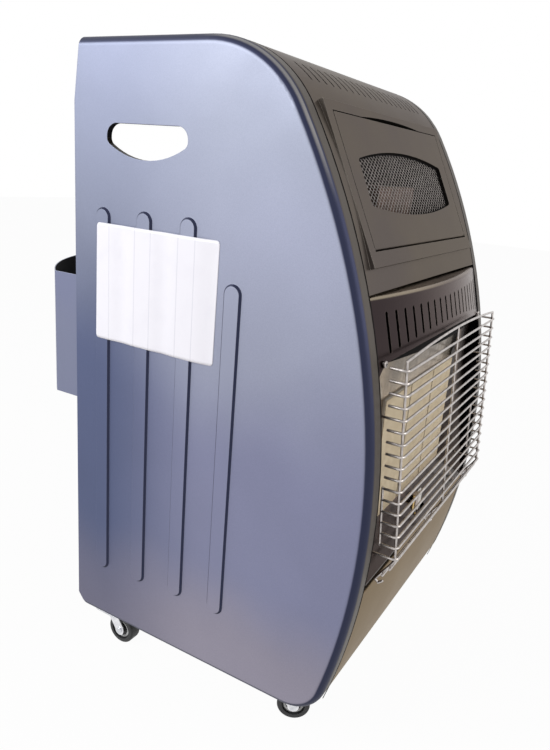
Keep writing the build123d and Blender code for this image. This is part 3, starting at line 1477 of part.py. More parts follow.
def caster_screws():
    """Four low-headed screws in each caster plate."""
    screws = []
    head_low = plate_low() - CASTER_SCREW_HEAD
    for name in CASTERS:
        pivot_x, pivot_y, _ = caster_place(name).position
        for offset_x, offset_y in caster_screw_places():
            x = pivot_x + offset_x
            y = pivot_y + offset_y
            top = plate_low() + CASTER_PLATE_THICKNESS
            screw = post(CASTER_SCREW_HEAD_RADIUS, x, y, head_low, plate_low() - RUNNING_GAP)
            screw += post(CASTER_SCREW_RADIUS, x, y, head_low, top)
            screws.append(screw)
    return screws


def caster_fork(name):
    """Pressed fork: crown with the kingpin, and two legs down to the axle."""
    inner = WHEEL_WIDTH / 2 + WHEEL_GAP
    outer = inner + FORK_SHEET
    top = crown_top()
    fork = post(FORK_CROWN_RADIUS, 0, 0, top - FORK_SHEET, top)
    leg = make_face(
        Polyline(
            (-TRAIL - FORK_EAR_RADIUS, WHEEL_RADIUS),
            (-TRAIL - FORK_EAR_RADIUS * 0.8, WHEEL_RADIUS + FORK_EAR_RADIUS),
            (-FORK_CROWN_RADIUS * 0.8, top),
            (FORK_CROWN_RADIUS * 0.5, top),
            (-TRAIL + FORK_EAR_RADIUS, WHEEL_RADIUS),
            close=True,
        )
    )
    leg += Pos(-TRAIL, WHEEL_RADIUS) * Circle(FORK_EAR_RADIUS)
    leg -= Pos(-TRAIL, WHEEL_RADIUS) * Circle(AXLE_RADIUS + RUNNING_GAP)
    for x in (-outer, inner):
        fork += Pos(x, 0, 0) * extrude(Plane.YZ * leg, FORK_SHEET)
    fork += post(KINGPIN_RADIUS, 0, 0, top - FORK_SHEET, plate_low() + CASTER_PLATE_THICKNESS - FIT_GAP)
    return caster_place(name) * fork


def caster_wheel(name):
    """Wheel with a rounded tread, a ring groove on both faces and its bore."""
    centre = (0, -TRAIL, WHEEL_RADIUS)
    half = WHEEL_WIDTH / 2
    start = (-half, centre[1], centre[2])
    end = (half, centre[1], centre[2])
    wheel = rod(WHEEL_RADIUS, start, end)
    wheel = fillet(wheel.edges().filter_by(GeomType.CIRCLE), WHEEL_EDGE_ROUND)
    for side in (-1, 1):
        face = (side * half, centre[1], centre[2])
        floor = (side * (half - WHEEL_RECESS), centre[1], centre[2])
        ring = rod(WHEEL_RECESS_RADIUS, floor, (side * 2 * half, centre[1], centre[2]))
        ring -= rod(WHEEL_HUB_RADIUS, floor, face)
        wheel -= ring
    wheel -= rod(AXLE_RADIUS + RUNNING_GAP, start, end)
    return caster_place(name) * wheel


def caster_axle(name):
    """Rivet through the fork and the wheel, with a head at both ends."""
    reach = WHEEL_WIDTH / 2 + WHEEL_GAP + FORK_SHEET + RUNNING_GAP
    y = -TRAIL
    axle = rod(AXLE_RADIUS, (-reach, y, WHEEL_RADIUS), (reach, y, WHEEL_RADIUS))
    for side in (-1, 1):
        face = (side * reach, y, WHEEL_RADIUS)
        end = (side * (reach + AXLE_HEAD), y, WHEEL_RADIUS)
        axle += rod(AXLE_HEAD_RADIUS, face, end)
    return caster_place(name) * axle


def mirrored(shape):
    """The same piece on the other side of the cabinet."""
    return mirror(shape, about=Plane.YZ)


PIECES = {
    "side_panel_left": side_panel_left,
    "side_panel_right": lambda: mirrored(side_panel_left()),
    "label_plate": label_plate,
    "upper_panel": upper_panel,
    "outlet_flap": outlet_flap,
    "window_mesh": window_mesh,
    "flap_hinge_pins": flap_hinge_pins,
    "flap_magnet": flap_magnet,
    "reflector_hood": reflector_hood,
    "hood_screws": hood_screws,
    "lower_front_panel": lower_front_panel,
    "reflector_box": reflector_box,
    "burner_rail_top": burner_rail_top,
    "burner_rail_bottom": burner_rail_bottom,
    "gas_manifold": gas_manifold,
    "injectors": injectors,
    "wire_guard": wire_guard,
    "heat_shield": heat_shield,
    "outlet_duct": outlet_duct,
    "base_tray": base_tray,
    "rear_upper_panel": rear_upper_panel,
    "rear_cover": rear_cover,
    "control_plate": control_plate,
    "gas_valve": gas_valve,
    "valve_stem": valve_stem,
    "control_knob": control_knob,
    "igniter_body": igniter_body,
    "igniter_button": igniter_button,
    "inlet_nozzle": inlet_nozzle,
    "gas_pipe_main": gas_pipe_main,
    "gas_pipe_pilot": gas_pipe_pilot,
    "thermocouple": thermocouple,
    "ignition_lead": ignition_lead,
    "pilot_burner": pilot_burner,
    "spark_electrode": spark_electrode,
    "rear_panel_screws": rear_panel_screws,
    "caster_plates": caster_plates,
    "caster_screws": caster_screws,
    "burner_body_left": lambda: burner_body(-1),
    "burner_body_centre": lambda: burner_body(0),
    "burner_body_right": lambda: burner_body(1),
    "ceramic_plaque_left": lambda: ceramic_plaque(-1),
    "ceramic_plaque_centre": lambda: ceramic_plaque(0),
    "ceramic_plaque_right": lambda: ceramic_plaque(1),
}

for caster in CASTERS:
    PIECES[f"caster_fork_{caster}"] = lambda name=caster: caster_fork(name)
    PIECES[f"caster_wheel_{caster}"] = lambda name=caster: caster_wheel(name)
    PIECES[f"caster_axle_{caster}"] = lambda name=caster: caster_axle(name)

os.makedirs("parts", exist_ok=True)
for node, make in PIECES.items():
    piece = make()
    if isinstance(piece, list):
        piece = Compound(children=piece)
    export_step(piece, f"parts/{node}.step")
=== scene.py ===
import math

import bmesh
import bpy
from mathutils import Matrix, Vector


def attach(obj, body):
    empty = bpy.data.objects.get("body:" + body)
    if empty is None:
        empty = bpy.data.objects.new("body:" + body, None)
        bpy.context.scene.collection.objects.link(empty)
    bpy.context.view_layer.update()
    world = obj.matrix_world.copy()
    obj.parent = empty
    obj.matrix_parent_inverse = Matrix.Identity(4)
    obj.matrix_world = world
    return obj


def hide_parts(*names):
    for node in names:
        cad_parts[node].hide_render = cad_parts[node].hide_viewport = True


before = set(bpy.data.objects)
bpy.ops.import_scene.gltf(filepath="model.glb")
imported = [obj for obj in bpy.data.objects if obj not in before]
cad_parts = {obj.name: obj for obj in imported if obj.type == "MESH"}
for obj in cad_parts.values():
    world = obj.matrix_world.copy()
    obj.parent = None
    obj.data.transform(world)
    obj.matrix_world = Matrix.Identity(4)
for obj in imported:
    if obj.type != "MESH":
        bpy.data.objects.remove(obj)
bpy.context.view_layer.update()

# ---- Studio ----
# The heater stands on a pale floor in open white surroundings, lit by two large soft lamps, and the
# camera looks at its left side from a little in front, at the height of the cabinet's upper edge.

scene = bpy.context.scene
scene.view_settings.view_transform = "Standard"

camera_lens = bpy.data.cameras.new("camera_left_front")
camera_lens.lens = 32.39
camera_lens.sensor_width = 36.0
camera_lens.clip_start = 0.02
camera = bpy.data.objects.new("camera_left_front", camera_lens)
camera_right = (0.50632648, -0.85885931, 0.07742207)
camera_up = (0.21660713, 0.21357059, 0.95261165)
camera_back = (-0.83469447, -0.46556233, 0.29417149)
camera_place = (-0.776, -0.453, 0.634)
rows = [(*axes, place) for *axes, place in zip(camera_right, camera_up, camera_back, camera_place)]
camera.matrix_world = Matrix(rows + [(0, 0, 0, 1)])
scene.collection.objects.link(camera)
scene.camera = camera


def math_node(tree, operation, first, second=None, third=None):
    """Math node whose inputs are sockets or plain numbers."""
    node = tree.nodes.new("ShaderNodeMath")
    node.operation = operation
    for socket, value in zip(node.inputs, (first, second, third)):
        if isinstance(value, (int, float)):
            socket.default_value = value
        elif value is not None:
            tree.links.new(value, socket)
    return node.outputs[0]


def rays_of(tree, *kinds):
    """1 for rays of the named kinds, 0 for the others."""
    rays = tree.nodes.new("ShaderNodeLightPath")
    named = rays.outputs[kinds[0]]
    for kind in kinds[1:]:
        named = math_node(tree, "MAXIMUM", named, rays.outputs[kind])
    return named


def shader_end(tree, end_kind, share, first, second):
    """Mix of two shaders joined to the tree's output."""
    either = tree.nodes.new("ShaderNodeMixShader")
    tree.links.new(share, either.inputs["Fac"])
    tree.links.new(first.outputs[0], either.inputs[1])
    tree.links.new(second.outputs[0], either.inputs[2])
    out = tree.nodes.new(end_kind)
    tree.links.new(either.outputs[0], out.inputs["Surface"])


surroundings = bpy.data.worlds.new("open_surroundings")
surroundings.use_nodes = True
scene.world = surroundings
tree = surroundings.node_tree
tree.nodes.clear()
daylight = tree.nodes.new("ShaderNodeBackground")
daylight.inputs["Color"].default_value = (0.93, 0.95, 1.0, 1)
daylight.inputs["Strength"].default_value = 0.46
open_white = tree.nodes.new("ShaderNodeBackground")
open_white.inputs["Color"].default_value = (1, 1, 1, 1)
open_white.inputs["Strength"].default_value = 1.0
through_or_mirrored = rays_of(tree, "Is Camera Ray", "Is Glossy Ray", "Is Transmission Ray")
shader_end(tree, "ShaderNodeOutputWorld", through_or_mirrored, daylight, open_white)


def soft_lamp(name, place, aim, size, watts, tint):
    """Square soft box that faces a point."""
    lamp = bpy.data.lights.new(name, "AREA")
    lamp.size = size
    lamp.energy = watts
    lamp.color = tint
    holder = bpy.data.objects.new(name, lamp)
    holder.location = place
    holder.rotation_mode = "QUATERNION"
    holder.rotation_quaternion = (Vector(aim) - Vector(place)).to_track_quat("-Z", "Y")
    scene.collection.objects.link(holder)


soft_lamp("lamp_left_rear", (-1.8, 1.0, 1.45), (-0.21, 0.0, 0.65), 1.3, 38.0, (0.96, 0.98, 1.0))
soft_lamp("lamp_front", (0.3, -2.3, 1.25), (0.0, -0.2, 0.4), 1.6, 24.0, (1.0, 0.97, 0.92))

floor_reach, floor_level = 7.0, -0.0004
floor_white = 0.965
quarters = ((-1, -1), (1, -1), (1, 1), (-1, 1))
floor_corners = [(floor_reach * x, floor_reach * y, floor_level) for x, y in quarters]
floor_mesh = bpy.data.meshes.new("floor")
floor_mesh.from_pydata(floor_corners, [], [(0, 1, 2, 3)])
floor = bpy.data.objects.new("floor", floor_mesh)
scene.collection.objects.link(floor)
floor_finish = bpy.data.materials.new("pale_floor")
floor_finish.use_nodes = True
tree = floor_finish.node_tree
tree.nodes.clear()
matt_pale = tree.nodes.new("ShaderNodeBsdfDiffuse")
matt_pale.inputs["Color"].default_value = (0.66, 0.64, 0.62, 1)
bright_white = tree.nodes.new("ShaderNodeEmission")
bright_white.inputs["Color"].default_value = (1, 1, 1, 1)
bright_white.inputs["Strength"].default_value = 1.0
share = math_node(tree, "MULTIPLY", rays_of(tree, "Is Camera Ray", "Is Glossy Ray"), floor_white)
shader_end(tree, "ShaderNodeOutputMaterial", share, matt_pale, bright_white)
floor_mesh.materials.append(floor_finish)

# ---- Side panels, rear rail and rear cover ----
# Deep-drawn pans of 1.2 mm steel with pressed ribs and hand holes, sprayed with a blue metallic stoving
# enamel. Its colour carries painted light: lavender flats in lighter and darker bands by height and towards
# the rear, painted navy shade round the bends and a painted warm grey reflection on the flanges level with
# the front. The rail and the cylinder cover have the same enamel. Inner faces carry painted dark shade.


def shader_group(name, takes, gives):
    """Empty node group with named sockets, and its two end nodes."""
    group = bpy.data.node_groups.new(name, "ShaderNodeTree")
    kinds = {"colour": "NodeSocketColor", "value": "NodeSocketFloat", "vector": "NodeSocketVector"}
    for socket, kind, start in takes:
        made = group.interface.new_socket(socket, in_out="INPUT", socket_type=kinds[kind])
        if start is not None:
            made.default_value = start
    for socket, kind in gives:
        group.interface.new_socket(socket, in_out="OUTPUT", socket_type=kinds[kind])
    return group, group.nodes.new("NodeGroupInput"), group.nodes.new("NodeGroupOutput")


def product_node(tree, first, *others):
    """Product of two or more shares."""
    for other in others:
        first = math_node(tree, "MULTIPLY", first, other)
    return first


def away_node(tree, value, middle):
    """How far a value lies from a middle."""
    return math_node(tree, "ABSOLUTE", math_node(tree, "SUBTRACT", value, middle))


def ramp_node(tree, value, low, high, to_low=0.0, to_high=1.0):
    """Smooth ramp from low to high; low may be the larger one."""
    node = tree.nodes.new("ShaderNodeMapRange")
    node.interpolation_type = "SMOOTHSTEP"
    if low > high:
        low, high, to_low, to_high = high, low, to_high, to_low
    for socket, amount in zip(("From Min", "From Max", "To Min", "To Max"), (low, high, to_low, to_high)):
        node.inputs[socket].default_value = amount
    tree.links.new(value, node.inputs["Value"])
    return node.outputs["Result"]


def blend_node(tree, share, first, second):
    """Mixed colour of two sockets or plain colours."""
    node = tree.nodes.new("ShaderNodeMix")
    node.data_type = "RGBA"
    for socket, value in zip((node.inputs[0], node.inputs[6], node.inputs[7]), (share, first, second)):
        if isinstance(value, tuple):
            socket.default_value = (*value, 1.0)
        else:
            tree.links.new(value, socket)
    return node.outputs[2]


def speckle_node(tree, place, size, detail=2.0):
    """Noise whose grains are about size metres across."""
    node = tree.nodes.new("ShaderNodeTexNoise")
    node.inputs["Scale"].default_value = 1.0 / size
    node.inputs["Detail"].default_value = detail
    tree.links.new(place, node.inputs["Vector"])
    return node.outputs[0]


def place_node(tree, stretch=(1.0, 1.0, 1.0)):
    """Place on the heater in metres, stretched along its axes."""
    coords = tree.nodes.new("ShaderNodeTexCoord")
    node = tree.nodes.new("ShaderNodeVectorMath")
    node.operation = "MULTIPLY"
    node.inputs[1].default_value = stretch
    tree.links.new(coords.outputs["Object"], node.inputs[0])
    return node.outputs[0]


def facing_node(tree):
    """Direction that the surface faces."""
    return tree.nodes.new("ShaderNodeTexCoord").outputs["Normal"]


def split_node(tree, vector):
    """X, Y and Z of a vector."""
    node = tree.nodes.new("ShaderNodeSeparateXYZ")
    tree.links.new(vector, node.inputs[0])
    return tuple(node.outputs)


# Stoving enamel: a fine orange peel, flakes and slow cloudy changes of tone.
enamel_group, enters, leaves = shader_group(
    "stoving_enamel",
    [
        ("Colour", "colour", None),
        ("Cloud Colour", "colour", None),
        ("Cloud", "value", 0.3),
        ("Flake", "value", 0.06),
        ("Roughness", "value", 0.4),
        ("Roughness Spread", "value", 0.08),
    ],
    [("Colour", "colour"), ("Roughness", "value"), ("Height", "value")],
)
place = place_node(enamel_group)
cloud = ramp_node(enamel_group, speckle_node(enamel_group, place, 0.16, 3.0), 0.35, 0.65)
cloudy = blend_node(
    enamel_group,
    product_node(enamel_group, cloud, enters.outputs["Cloud"]),
    enters.outputs["Colour"],
    enters.outputs["Cloud Colour"],
)
flakes = math_node(enamel_group, "SUBTRACT", speckle_node(enamel_group, place, 0.0009, 1.0), 0.5)
flake_tone = math_node(enamel_group, "MULTIPLY_ADD", flakes, enters.outputs["Flake"], 1.0)
tone = enamel_group.nodes.new("ShaderNodeVectorMath")
tone.operation = "SCALE"
enamel_group.links.new(cloudy, tone.inputs[0])
enamel_group.links.new(flake_tone, tone.inputs["Scale"])
enamel_group.links.new(tone.outputs[0], leaves.inputs["Colour"])
wide = math_node(enamel_group, "SUBTRACT", speckle_node(enamel_group, place, 0.05), 0.5)
gloss = math_node(
    enamel_group, "MULTIPLY_ADD", wide, enters.outputs["Roughness Spread"], enters.outputs["Roughness"]
)
enamel_group.links.new(gloss, leaves.inputs["Roughness"])
enamel_group.links.new(speckle_node(enamel_group, place, 0.0022), leaves.inputs["Height"])

# Edges of pressed sheet: slightly rounded, with a mask along them by which the enamel turns lighter, partly
# as wear and partly as painted highlight.
edge_group, enters, leaves = shader_group(
    "sheet_edge",
    [("Radius", "value", 0.0007), ("Gain", "value", 3.0)],
    [("Edge", "value"), ("Normal", "vector")],
)
rounding = edge_group.nodes.new("ShaderNodeBevel")
rounding.samples = 4
edge_group.links.new(enters.outputs["Radius"], rounding.inputs["Radius"])
surface = edge_group.nodes.new("ShaderNodeNewGeometry")
alike = edge_group.nodes.new("ShaderNodeVectorMath")
alike.operation = "DOT_PRODUCT"
edge_group.links.new(rounding.outputs[0], alike.inputs[0])
edge_group.links.new(surface.outputs["Normal"], alike.inputs[1])
turned = math_node(edge_group, "SUBTRACT", 1.0, alike.outputs["Value"])
edge_wear_and_glint = ramp_node(edge_group, product_node(edge_group, turned, enters.outputs["Gain"]), 0.05, 0.8)
edge_group.links.new(edge_wear_and_glint, leaves.inputs["Edge"])
edge_group.links.new(rounding.outputs[0], leaves.inputs["Normal"])

# Painted light by the way that a sheet faces: painted navy shade on the bends and a painted warm grey
# reflection on the flanges behind them. A painted highlight lies on the bend round the shoulder.
shoulder_highlight_z, shoulder_highlight_y = (0.60, 0.68), (-0.02, -0.06)
shoulder_highlight_grey = (0.30, 0.29, 0.28)
facing_light_group, enters, leaves = shader_group(
    "painted_light_round_bends",
    [("Flat", "colour", None), ("Bend", "colour", None), ("Flange", "colour", None)],
    [("Colour", "colour")],
)
face_x, face_y, face_z = split_node(facing_light_group, facing_node(facing_light_group))
place_x, place_y, place_z = split_node(facing_light_group, place_node(facing_light_group))
sideways = math_node(facing_light_group, "ABSOLUTE", face_x)
onto_bend_shade = product_node(
    facing_light_group,
    ramp_node(facing_light_group, sideways, 0.9995, 0.93),
    ramp_node(facing_light_group, face_y, 0.10, -0.10, 0.85, 1.0),
)
onto_flange_reflection = product_node(
    facing_light_group, ramp_node(facing_light_group, sideways, 0.34, 0.10), ramp_node(facing_light_group, face_y, 0.6, 0.3)
)
# Painted highlight on the bend round the shoulder.
shoulder_highlight = product_node(
    facing_light_group,
    ramp_node(facing_light_group, sideways, 0.80, 0.62),
    ramp_node(facing_light_group, sideways, 0.34, 0.50),
    ramp_node(facing_light_group, place_z, *shoulder_highlight_z),
    ramp_node(facing_light_group, place_y, *shoulder_highlight_y),
    0.7,
)
tone = blend_node(facing_light_group, onto_bend_shade, enters.outputs["Flat"], enters.outputs["Bend"])
tone = blend_node(facing_light_group, shoulder_highlight, tone, shoulder_highlight_grey)
tone = blend_node(facing_light_group, onto_flange_reflection, tone, enters.outputs["Flange"])
facing_light_group.links.new(tone, leaves.inputs["Colour"])

# Painted shade on the inner faces of the cabinet's sheets and, where asked for, on the rims in the gap round
# the flap: they turn dark and dull.
cabinet_middle = (0.0, 0.05, 0.45)
flap_gap_x = (0.168, 0.162)
inner_shade_group, enters, leaves = shader_group(
    "painted_shade_on_inner_faces",
    [("Colour", "colour", None), ("Primer", "colour", None), ("Rims", "value", 0.0)],
    [("Colour", "colour"), ("Inner", "value")],
)
from_middle = inner_shade_group.nodes.new("ShaderNodeVectorMath")
from_middle.operation = "SUBTRACT"
inner_shade_group.links.new(place_node(inner_shade_group), from_middle.inputs[0])
from_middle.inputs[1].default_value = cabinet_middle
outward = inner_shade_group.nodes.new("ShaderNodeVectorMath")
outward.operation = "DOT_PRODUCT"
facing = facing_node(inner_shade_group)
inner_shade_group.links.new(from_middle.outputs[0], outward.inputs[0])
inner_shade_group.links.new(facing, outward.inputs[1])
face_x, face_y, face_z = split_node(inner_shade_group, facing)
place_x, place_y, place_z = split_node(inner_shade_group, from_middle.outputs[0])
rims = product_node(
    inner_shade_group,
    ramp_node(inner_shade_group, math_node(inner_shade_group, "ABSOLUTE", face_x), 0.90, 0.99),
    ramp_node(inner_shade_group, math_node(inner_shade_group, "ABSOLUTE", place_x), *flap_gap_x),
    enters.outputs["Rims"],
)
inward = ramp_node(inner_shade_group, outward.outputs["Value"], -0.012, -0.04)
inner = math_node(inner_shade_group, "MAXIMUM", inward, rims)
inner_shade_group.links.new(inner, leaves.inputs["Inner"])
tone = blend_node(inner_shade_group, inner, enters.outputs["Colour"], enters.outputs["Primer"])
inner_shade_group.links.new(tone, leaves.inputs["Colour"])


def new_finish(name, metallic=0.0, coat=0.0, coat_roughness=0.1, specular=0.5, sheen_tone=None):
    """Material with one Principled shader whose constants sit on its own sockets."""
    made = bpy.data.materials.new(name)
    made.use_nodes = True
    shader = made.node_tree.nodes["Principled BSDF"]
    shader.inputs["Metallic"].default_value = metallic
    shader.inputs["Coat Weight"].default_value = coat
    shader.inputs["Coat Roughness"].default_value = coat_roughness
    shader.inputs["Specular IOR Level"].default_value = specular
    if sheen_tone is not None:
        shader.inputs["Specular Tint"].default_value = (*sheen_tone, 1.0)
    return made, made.node_tree, shader


def put_group(tree, group, **settings):
    """Group placed in a material, its inputs set by name or joined to sockets."""
    node = tree.nodes.new("ShaderNodeGroup")
    node.node_tree = group
    for name, value in settings.items():
        socket = node.inputs[name.replace("_", " ").title()]
        if isinstance(value, tuple):
            socket.default_value = (*value, 1.0)
        elif isinstance(value, (int, float)):
            socket.default_value = value
        else:
            tree.links.new(value, socket)
    return node


def relief(tree, shader, height, depth, normal=None):
    """Bump of a depth in metres on the shader's normal."""
    node = tree.nodes.new("ShaderNodeBump")
    node.inputs["Strength"].default_value = 1.0
    node.inputs["Distance"].default_value = depth
    tree.links.new(height, node.inputs["Height"])
    if normal is not None:
        tree.links.new(normal, node.inputs["Normal"])
    tree.links.new(node.outputs["Normal"], shader.inputs["Normal"])


peel_depth = 0.00003
inner_shade_dulling = 0.5


def enamel(
    name, colour, cloud_colour, edge_wear_and_highlight_colour, cloud, flake, roughness, edge, primer=None, rims=0.0, **more
):
    """Sprayed sheet: edges lighter as wear and painted highlight, painted shade on the inner faces.

    The first two colours are plain, or functions that paint them with the material's nodes.
    """
    made, tree, shader = new_finish(name, **more)
    colour, cloud_colour = (tone(tree) if callable(tone) else tone for tone in (colour, cloud_colour))
    coat = put_group(
        tree,
        enamel_group,
        colour=colour,
        cloud_colour=cloud_colour,
        cloud=cloud,
        flake=flake,
        roughness=roughness,
    )
    edges = put_group(tree, edge_group)
    wear_and_highlight = product_node(tree, edges.outputs["Edge"], edge)
    sheet = blend_node(tree, wear_and_highlight, coat.outputs["Colour"], edge_wear_and_highlight_colour)
    gloss = coat.outputs["Roughness"]
    if primer is not None:
        inner_shaded = put_group(tree, inner_shade_group, colour=sheet, primer=primer, rims=rims)
        sheet = inner_shaded.outputs["Colour"]
        gloss = math_node(tree, "MULTIPLY_ADD", inner_shaded.outputs["Inner"], inner_shade_dulling, gloss)
    tree.links.new(sheet, shader.inputs["Base Color"])
    tree.links.new(gloss, shader.inputs["Roughness"])
    relief(tree, shader, coat.outputs["Height"], peel_depth, edges.outputs["Normal"])
    return made


def dress(made, *names):
    """Gives a finish to CAD pieces."""
    for name in names:
        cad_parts[name].material_slots[0].material = made


# The side panels' painted light lies in bands one above the other: heights and depths where each tone gives
# way to the next.
front_middle_light_z, front_upper_light_z = (0.40, 0.54), (0.62, 0.76)
rear_upper_light_z, foot_light_z = (0.44, 0.66), (0.27, 0.15)
front_to_rear_shade_y = (-0.07, 0.10)
light_band_wander = 0.16
# Painted navy shade for the bends and painted warm grey reflection for the flanges.
bend_shade_navy, flange_reflection_grey = (0.024, 0.028, 0.062), (0.070, 0.058, 0.048)


def side_tone_with_painted_light(tree, depth):
    """Side panel colour with painted light: bands by height, darker towards the rear, lighter at the foot.
    """
    plain, bright, pale, deep, rear_pale, warm, rear_warm = (
        tuple(depth * value for value in tone)
        for tone in (
            (0.222, 0.230, 0.345),
            (0.300, 0.315, 0.410),
            (0.235, 0.250, 0.315),
            (0.095, 0.115, 0.210),
            (0.205, 0.222, 0.300),
            (0.290, 0.270, 0.335),
            (0.165, 0.160, 0.225),
        )
    )
    place_x, place_y, place_z = split_node(tree, place_node(tree))
    wander = speckle_node(tree, place_node(tree, (1.0, 1.0, 0.6)), 0.22)
    light_height = math_node(tree, "ADD", place_z, product_node(tree, wander, light_band_wander))
    rearward = ramp_node(tree, place_y, *front_to_rear_shade_y)
    front_tone = blend_node(tree, ramp_node(tree, light_height, *front_middle_light_z), plain, bright)
    front_tone = blend_node(tree, ramp_node(tree, light_height, *front_upper_light_z), front_tone, pale)
    rear_tone = blend_node(tree, ramp_node(tree, light_height, *rear_upper_light_z), deep, rear_pale)
    upper = blend_node(tree, rearward, front_tone, rear_tone)
    lower = blend_node(tree, rearward, warm, rear_warm)
    flat = blend_node(tree, ramp_node(tree, light_height, *foot_light_z), upper, lower)
    tones = put_group(tree, facing_light_group, flat=flat, bend=bend_shade_navy, flange=flange_reflection_grey)
    return tones.outputs["Colour"]


# Painted shade colour for the inner faces.
inner_shade_tone = (0.020, 0.020, 0.024)
side_enamel = enamel(
    "blue_side_enamel",
    lambda tree: side_tone_with_painted_light(tree, 1.0),
    lambda tree: side_tone_with_painted_light(tree, 0.9),
    (0.42, 0.44, 0.54),
    cloud=0.6,
    flake=0.22,
    roughness=0.47,
    edge=0.35,
    primer=inner_shade_tone,
    metallic=0.72,
)
dress(side_enamel, "side_panel_left", "side_panel_right")

rear_enamel = enamel(
    "blue_rear_enamel",
    (0.20, 0.215, 0.31),
    (0.18, 0.195, 0.31),
    (0.42, 0.44, 0.52),
    cloud=0.7,
    flake=0.2,
    roughness=0.4,
    edge=0.4,
    primer=inner_shade_tone,
    metallic=0.7,
)
dress(rear_enamel, "rear_upper_panel", "rear_cover")

# ---- Blank label ----
# White self-adhesive film on the left side, 165 mm by 132 mm with rounded corners. It was laid on
# after spraying, lies on the pressed ribs and sags a little between them. Nothing is printed on it.

side_face_x = -0.21
film_half_y, film_half_z = 0.0825, 0.066
film_middle = (0.021, 0.4935)
film_corner = 0.004
film_turn = math.radians(0.6)
film_thickness = 0.00012
film_lift, film_over_rib = 0.00018, 0.00004
film_sag = 0.5
film_slope = 0.0285
rib_shade_far, rib_shade_near, rib_shade_share = 0.0009, 0.0002, 0.28
rib_places = (0.096, 0.037, -0.022)
rib_rise, rib_half = 0.0025, 0.011


def film_rise(y):
    """How far the film stands off the flat panel at y."""
    share = 1.0
    for rear_rib, front_rib in zip(rib_places, rib_places[1:]):
        gap = (rear_rib - front_rib) / 2 - rib_half
        inward = gap - abs(y - (rear_rib + front_rib) / 2)
        if inward > 0:
            share = 1.0 - film_sag * (0.5 - 0.5 * math.cos(math.pi * inward / gap))
    past = rib_places[-1] - rib_half - y
    if past > 0:
        fall = min(past / film_slope, 1.0)
        share = 1.0 - fall * fall * (3 - 2 * fall)
    return film_lift + share * (rib_rise + film_over_rib)


def lay_sheet(mesh, rows):
    """Faces between neighbouring rows of points."""
    for row, following in zip(rows, rows[1:]):
        for k in range(len(row) - 1):
            mesh.faces.new((row[k], row[k + 1], following[k + 1], following[k]))


def new_piece(name, mesh, finish, turn_outward=True):
    """Piece made from a mesh, with its finish."""
    if turn_outward:
        bmesh.ops.recalc_face_normals(mesh, faces=mesh.faces)
    mesh.normal_update()
    piece_mesh = bpy.data.meshes.new(name)
    mesh.to_mesh(piece_mesh)
    mesh.free()
    piece = bpy.data.objects.new(name, piece_mesh)
    scene.collection.objects.link(piece)
    piece_mesh.materials.append(finish)
    return piece


def thicken(piece, thickness, offset=-1.0):
    """Gives a sheet its thickness."""
    layer = piece.modifiers.new("thickness", "SOLIDIFY")
    layer.thickness = thickness
    layer.offset = offset


label_film, tree, shader = new_finish("white_label_film", coat=0.25, coat_roughness=0.2)
place = place_node(tree)
soil = ramp_node(tree, speckle_node(tree, place, 0.03, 4.0), 0.45, 0.8)
film_tone = blend_node(tree, soil, (0.87, 0.845, 0.885), (0.84, 0.815, 0.86))
place_x, place_y, place_z = split_node(tree, place)
# Painted shade: darker lines along the edges of each rib, where the film bends over it.
for rib in rib_places:
    for rib_edge in (rib - rib_half, rib + rib_half):
        off = away_node(tree, place_y, rib_edge)
        rib_shade = ramp_node(tree, off, rib_shade_far, rib_shade_near, 0.0, rib_shade_share)
        film_tone = blend_node(tree, rib_shade, film_tone, (0.40, 0.39, 0.47))
tree.links.new(film_tone, shader.inputs["Base Color"])
shader.inputs["Roughness"].default_value = 0.38
relief(tree, shader, speckle_node(tree, place_node(tree, (1, 1, 0.25)), 0.004), 0.00004)

mesh = bmesh.new()
across, up = 150, 40
rows = []
for i in range(across + 1):
    row = []
    for k in range(up + 1):
        u = (2 * i / across - 1) * film_half_y
        v = (2 * k / up - 1) * film_half_z
        over_u = max(abs(u) - (film_half_y - film_corner), 0.0)
        over_v = max(abs(v) - (film_half_z - film_corner), 0.0)
        far = math.hypot(over_u, over_v)
        if over_u and over_v and far > film_corner:
            pull = film_corner / far
            u = math.copysign(film_half_y - film_corner + over_u * pull, u)
            v = math.copysign(film_half_z - film_corner + over_v * pull, v)
        y = film_middle[0] + u * math.cos(film_turn) - v * math.sin(film_turn)
        z = film_middle[1] + u * math.sin(film_turn) + v * math.cos(film_turn)
        row.append(mesh.verts.new((side_face_x - film_rise(y), y, z)))
    rows.append(row)
lay_sheet(mesh, rows)
for face in mesh.faces:
    face.smooth = True
film = new_piece("blank_label_film", mesh, label_film, turn_outward=False)
thicken(film, film_thickness, 1.0)
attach(film, "cabinet")
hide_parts("label_plate")

# ---- Upper panel and outlet flap ----
# One sheet wraps from above the visor over the top; the flap is a shallow pan hinged at its lower
# edge. Both have a warm grey-brown metallic enamel with a soft sheen.

front_enamel = enamel(
    "grey_brown_front_enamel",
    (0.122, 0.106, 0.099),
    (0.150, 0.130, 0.102),
    (0.40, 0.37, 0.33),
    cloud=0.6,
    flake=0.3,
    roughness=0.32,
    edge=0.5,
    # Painted shade on the inner faces and on the rims in the gap round the flap.
    primer=(0.012, 0.011, 0.010),
    rims=1.0,
    metallic=0.85,
    sheen_tone=(0.50, 0.47, 0.45),
)
dress(front_enamel, "upper_panel", "outlet_flap")

# ---- Painted shadow strips in the two front seams ----
# A thin black strip lies in the seam between each side panel's flange and the front sheets, from the foot of
# the bulge over the rounding to the rear of the top, as painted shadow of the open joint.

bulge_radius, bulge_middle = 0.772, (0.517, 0.289)
shoulder_radius, shoulder_middle = 0.125, (-0.0359, 0.625)
seam_x, seam_foot_z, seam_rear_y = 0.1855, 0.062, 0.126
top_z = 0.75
strip_width, strip_proud, strip_sunk = 0.0022, 0.00012, 0.0005


